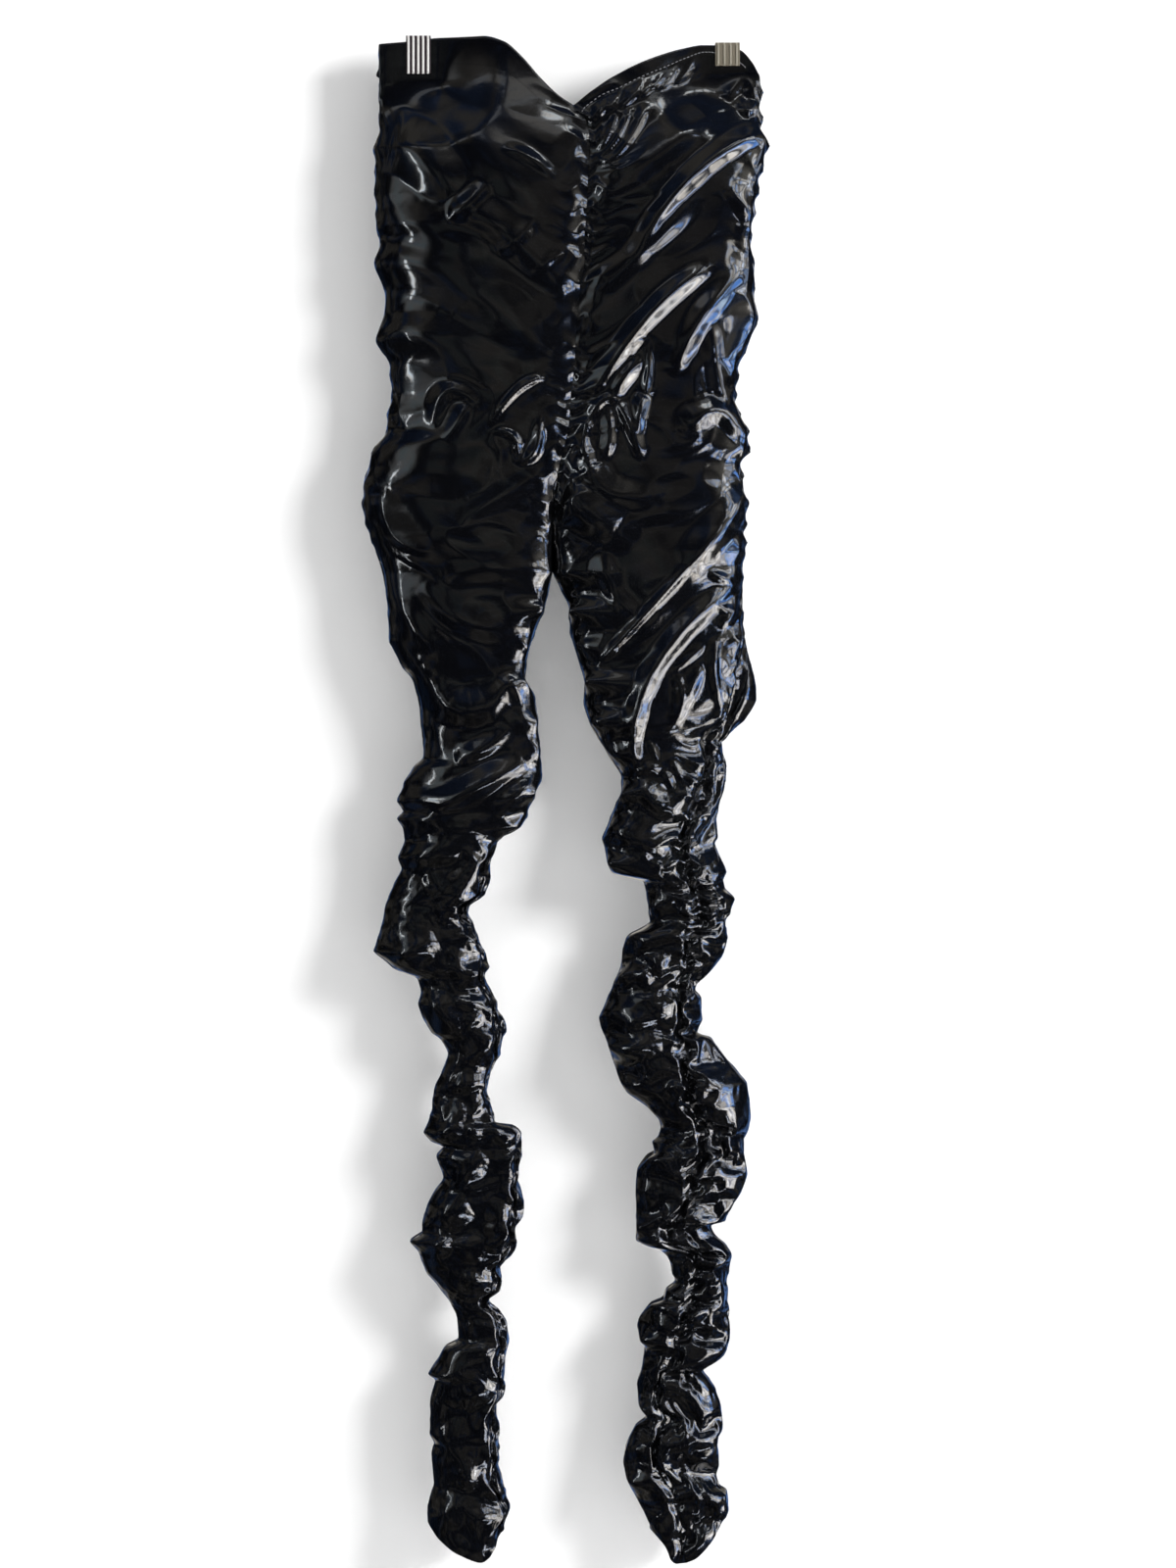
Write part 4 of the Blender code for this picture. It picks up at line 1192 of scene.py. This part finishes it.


for layer in layerTurn:
    for side in sideSign:
        print("panel", layer, side)
        nodes = [f"{layer}_{side}_{part}" for part in ("hip", "thigh", "calf", "ankle")]
        made = dress(panel(side, layer), vinyl, nodes)

for layer in layerTurn:
    print("waistband", layer)
    made = dress(band(layer), vinyl, [f"waistband_{layer}"])

print("stitches")
dress(threads(), threadFinish())

for side in sideSign:
    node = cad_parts["clip_" + side]
    print("clip", side, [round(v, 4) for v in node.matrix_world.translation])
    node.data.materials.clear()
    node.data.materials.append(clipFinish(side))

stage = {
    "wallY": 0.046,
    "floorZ": -1.5,
    "wall": (0.9, 0.9, 0.9),
    "floor": (0.8, 0.8, 0.8),
    "wallGlow": 0.12,
    "floorGlow": 0.2,
}


def stageFinish(name, colour, glow):
    finish = Finish(name)
    finish.set(Base_Color=colour, Roughness=0.9, Emission_Color=colour, Emission_Strength=glow)
    clear = finish.tree.nodes.new("ShaderNodeBsdfTransparent")
    pick = finish.tree.nodes.new("ShaderNodeMixShader")
    facing = finish.node("ShaderNodeNewGeometry", output=6)
    finish.tree.links.new(facing.socket, pick.inputs[0])
    finish.tree.links.new(finish.shader.outputs[0], pick.inputs[1])
    finish.tree.links.new(clear.outputs[0], pick.inputs[2])
    finish.tree.links.new(pick.outputs[0], finish.tree.nodes["Material Output"].inputs["Surface"])
    return finish.material


def plane(name, corners, material):
    obj = meshObject(name, corners, [(0, 1, 2, 3)])
    obj.data.materials.append(material)
    return obj


print("stage, lights and camera")
wallY, floorZ = stage["wallY"], stage["floorZ"]
wall = plane("wall", [(-4, wallY, floorZ), (4, wallY, floorZ), (4, wallY, 3), (-4, wallY, 3)],
             stageFinish("wallPaint", stage["wall"], stage["wallGlow"]))
wall.visible_glossy = False
floor = plane("floor", [(-6, -6, floorZ), (6, -6, floorZ), (6, 6, floorZ), (-6, 6, floorZ)],
              stageFinish("floorPaint", stage["floor"], stage["floorGlow"]))
floor.visible_glossy = False

lamps = (
    # name, place, target, width, height, watts, colour, other colour, panes across, panes down
    ("key", (2.2, -1.9, 0.35), (0, 0, -0.6), 0.8, 0.9, 94, (1.0, 1.0, 1.0), None, 0, 0),
    ("window", (1.8, -0.95, 0.4), (0, 0, -0.5), 0.5, 0.8, 8, (1.0, 0.93, 0.84), (0.6, 0.75, 1.0), 2, 3),
    ("windowLow", (1.65, -1.2, -1.4), (0, 0, -0.8), 1.0, 0.9, 19, (1.0, 0.93, 0.84), (0.9, 0.93, 1.0), 4, 5),
    ("skyHigh", (1.75, -0.45, 0.05), (0, 0, -0.3), 0.9, 0.7, 6.5, (0.4, 0.6, 1.0), (1.0, 0.94, 0.86), 2, 3),
    ("sky", (1.75, -0.45, -0.65), (0, 0, -0.6), 0.9, 0.6, 12, (0.12, 0.35, 1.0), (0.6, 0.78, 1.0), 2, 3),
    ("skyFoot", (1.6, -0.5, -1.3), (0, 0, -0.9), 0.8, 0.6, 11, (1.0, 0.93, 0.84), (0.9, 0.94, 1.0), 2, 2),
    ("calfGlow", (1.05, -0.65, -1), (0.1, 0, -0.95), 1, 1, 14, (1.0, 0.92, 0.82), (0.95, 0.95, 1.0), 3, 4),
    ("kneeGlow", (1.3, -1.5, -0.6), (0.05, 0, -0.6), 0.5, 0.6, 7, (1.0, 0.95, 0.88), (0.15, 0.4, 1.0), 3, 3),
    ("skyLow", (0.9, -1.2, -1.95), (0, 0, -0.8), 0.6, 0.25, 5, (0.6, 0.75, 1.0), (1.0, 0.9, 0.8), 3, 1),
    ("upper", (1.35, -1.3, 0.65), (0, 0, -0.5), 0.8, 0.8, 10, (1.0, 0.95, 0.86), (0.4, 0.6, 1.0), 3, 3),
    ("top", (0.6, -1.3, 1.4), (0, 0, -0.3), 0.7, 0.2, 3, (1.0, 0.96, 0.9), (0.7, 0.85, 1.0), 3, 1),
    ("behind", (-0.5, -2.8, 0.1), (0, 0, -0.3), 1.6, 1.4, 0.7, (0.8, 0.95, 0.9), (0.9, 0.8, 0.7), 2, 1),
    ("side", (-1.5, -1.2, -0.3), (0, 0, -0.7), 0.12, 1.1, 4, (1.0, 0.98, 0.94), (0.7, 0.85, 1.0), 1, 3),
    ("strip", (0.1, -1.2, 1.0), (0, 0, -0.6), 2.6, 0.22, 1.2, (1.0, 0.97, 0.92), (0.75, 0.86, 1.0), 5, 1),
    ("room", (-1.8, -1.7, 0.3), (0, 0, -0.5), 1.3, 1.3, 3, (0.92, 0.96, 1.0), (0.7, 0.9, 1.0), 1, 1),
)
for name, place, target, width, height, watts, colour, other, across, down in lamps:
    light = bpy.data.lights.new(name, "AREA")
    light.shape = "RECTANGLE"
    light.size, light.size_y, light.energy = width, height, watts
    lamp = bpy.data.objects.new(name, light)
    lamp.location = place
    lamp.rotation_euler = (Vector(target) - Vector(place)).to_track_quat("-Z", "Y").to_euler()
    bpy.context.collection.objects.link(lamp)
    if other is None:
        light.color = colour
        lamp.visible_glossy = False
        continue
    # panes with soft edges, a little uneven as seen through old glass
    lamp.visible_diffuse = False
    light.use_nodes = True
    graph = Graph(light.node_tree)
    glow = light.node_tree.nodes["Emission"]
    at = graph.node("ShaderNodeNewGeometry", output=5)
    u, v, _ = graph.node("ShaderNodeSeparateXYZ", None, {0: at}, output=(0, 1, 2))
    shape = 1.0
    for value, count in ((u, across), (v, down)):
        pane = graph.node("ShaderNodeMath", {"operation": "PINGPONG"}, {0: value * (2.0 * count), 1: 1.0})
        shape = graph.between(pane, 0.02, 0.5) * shape
    cloud = graph.noise(at, 3.0, 3.0)
    graph.feed(glow.inputs["Color"], graph.mix(graph.between(cloud, 0.4, 0.62), colour, other))
    graph.feed(glow.inputs["Strength"], shape * (cloud + 0.5))

world = bpy.data.worlds.new("room")
bpy.context.scene.world = world
world.use_nodes = True
room = Graph(world.node_tree)
towards = room.node("ShaderNodeTexCoord", output=0)
right, back, up = room.node("ShaderNodeSeparateXYZ", None, {0: towards}, output=(0, 1, 2))
shapes = room.noise(towards, 2.2, 3.0)
smaller = room.noise(towards, 5.0, 2.0)
tint = room.mix(room.between(room.noise(towards, 1.9), 0.44, 0.56), (0.22, 0.42, 0.95), (1.0, 0.94, 0.84))
panes = room.between(room.noise(towards, 2.4, 1.0), 0.44, 0.58)
aside = room.between(right, 0.55, 0.9) * (1 - room.between(back, -0.3, 0.1))
dim = room.between(shapes, 0.44, 0.66) * 0.13
dim = dim + room.between(smaller, 0.54, 0.64) * 0.06
dim = dim + room.between(up, 0.3, 0.9) * 0.08
rear = room.between(back, 0.5, 0.9) * room.between(shapes, 0.42, 0.58)
bright = 0.01 + dim + aside * (panes + 0.1) + rear * 0.7
shown = room.node("ShaderNodeBackground", None, {"Color": tint, "Strength": bright})
for rays, grey in (("Is Diffuse Ray", 0.5), ("Is Camera Ray", 0.92)):
    light = room.node("ShaderNodeBackground", None, {"Color": (grey, grey, grey)})
    ray = room.node("ShaderNodeLightPath", output=rays)
    shown = room.node("ShaderNodeMixShader", None, {0: ray, 1: shown, 2: light})
room.feed(world.node_tree.nodes["World Output"].inputs["Surface"], shown)

view = {"distance": 2.5, "height": 1.28, "centre": (0.0128, -0.6056)}
camera = bpy.data.cameras.new("camera")
camera.sensor_width = 36
camera.lens = 36 * view["distance"] / view["height"]
eye = bpy.data.objects.new("camera", camera)
eye.location = (view["centre"][0], -view["distance"], view["centre"][1])
eye.rotation_euler = (math.pi / 2, 0, 0)
bpy.context.collection.objects.link(eye)
bpy.context.scene.camera = eye
bpy.context.scene.view_settings.view_transform = "Standard"
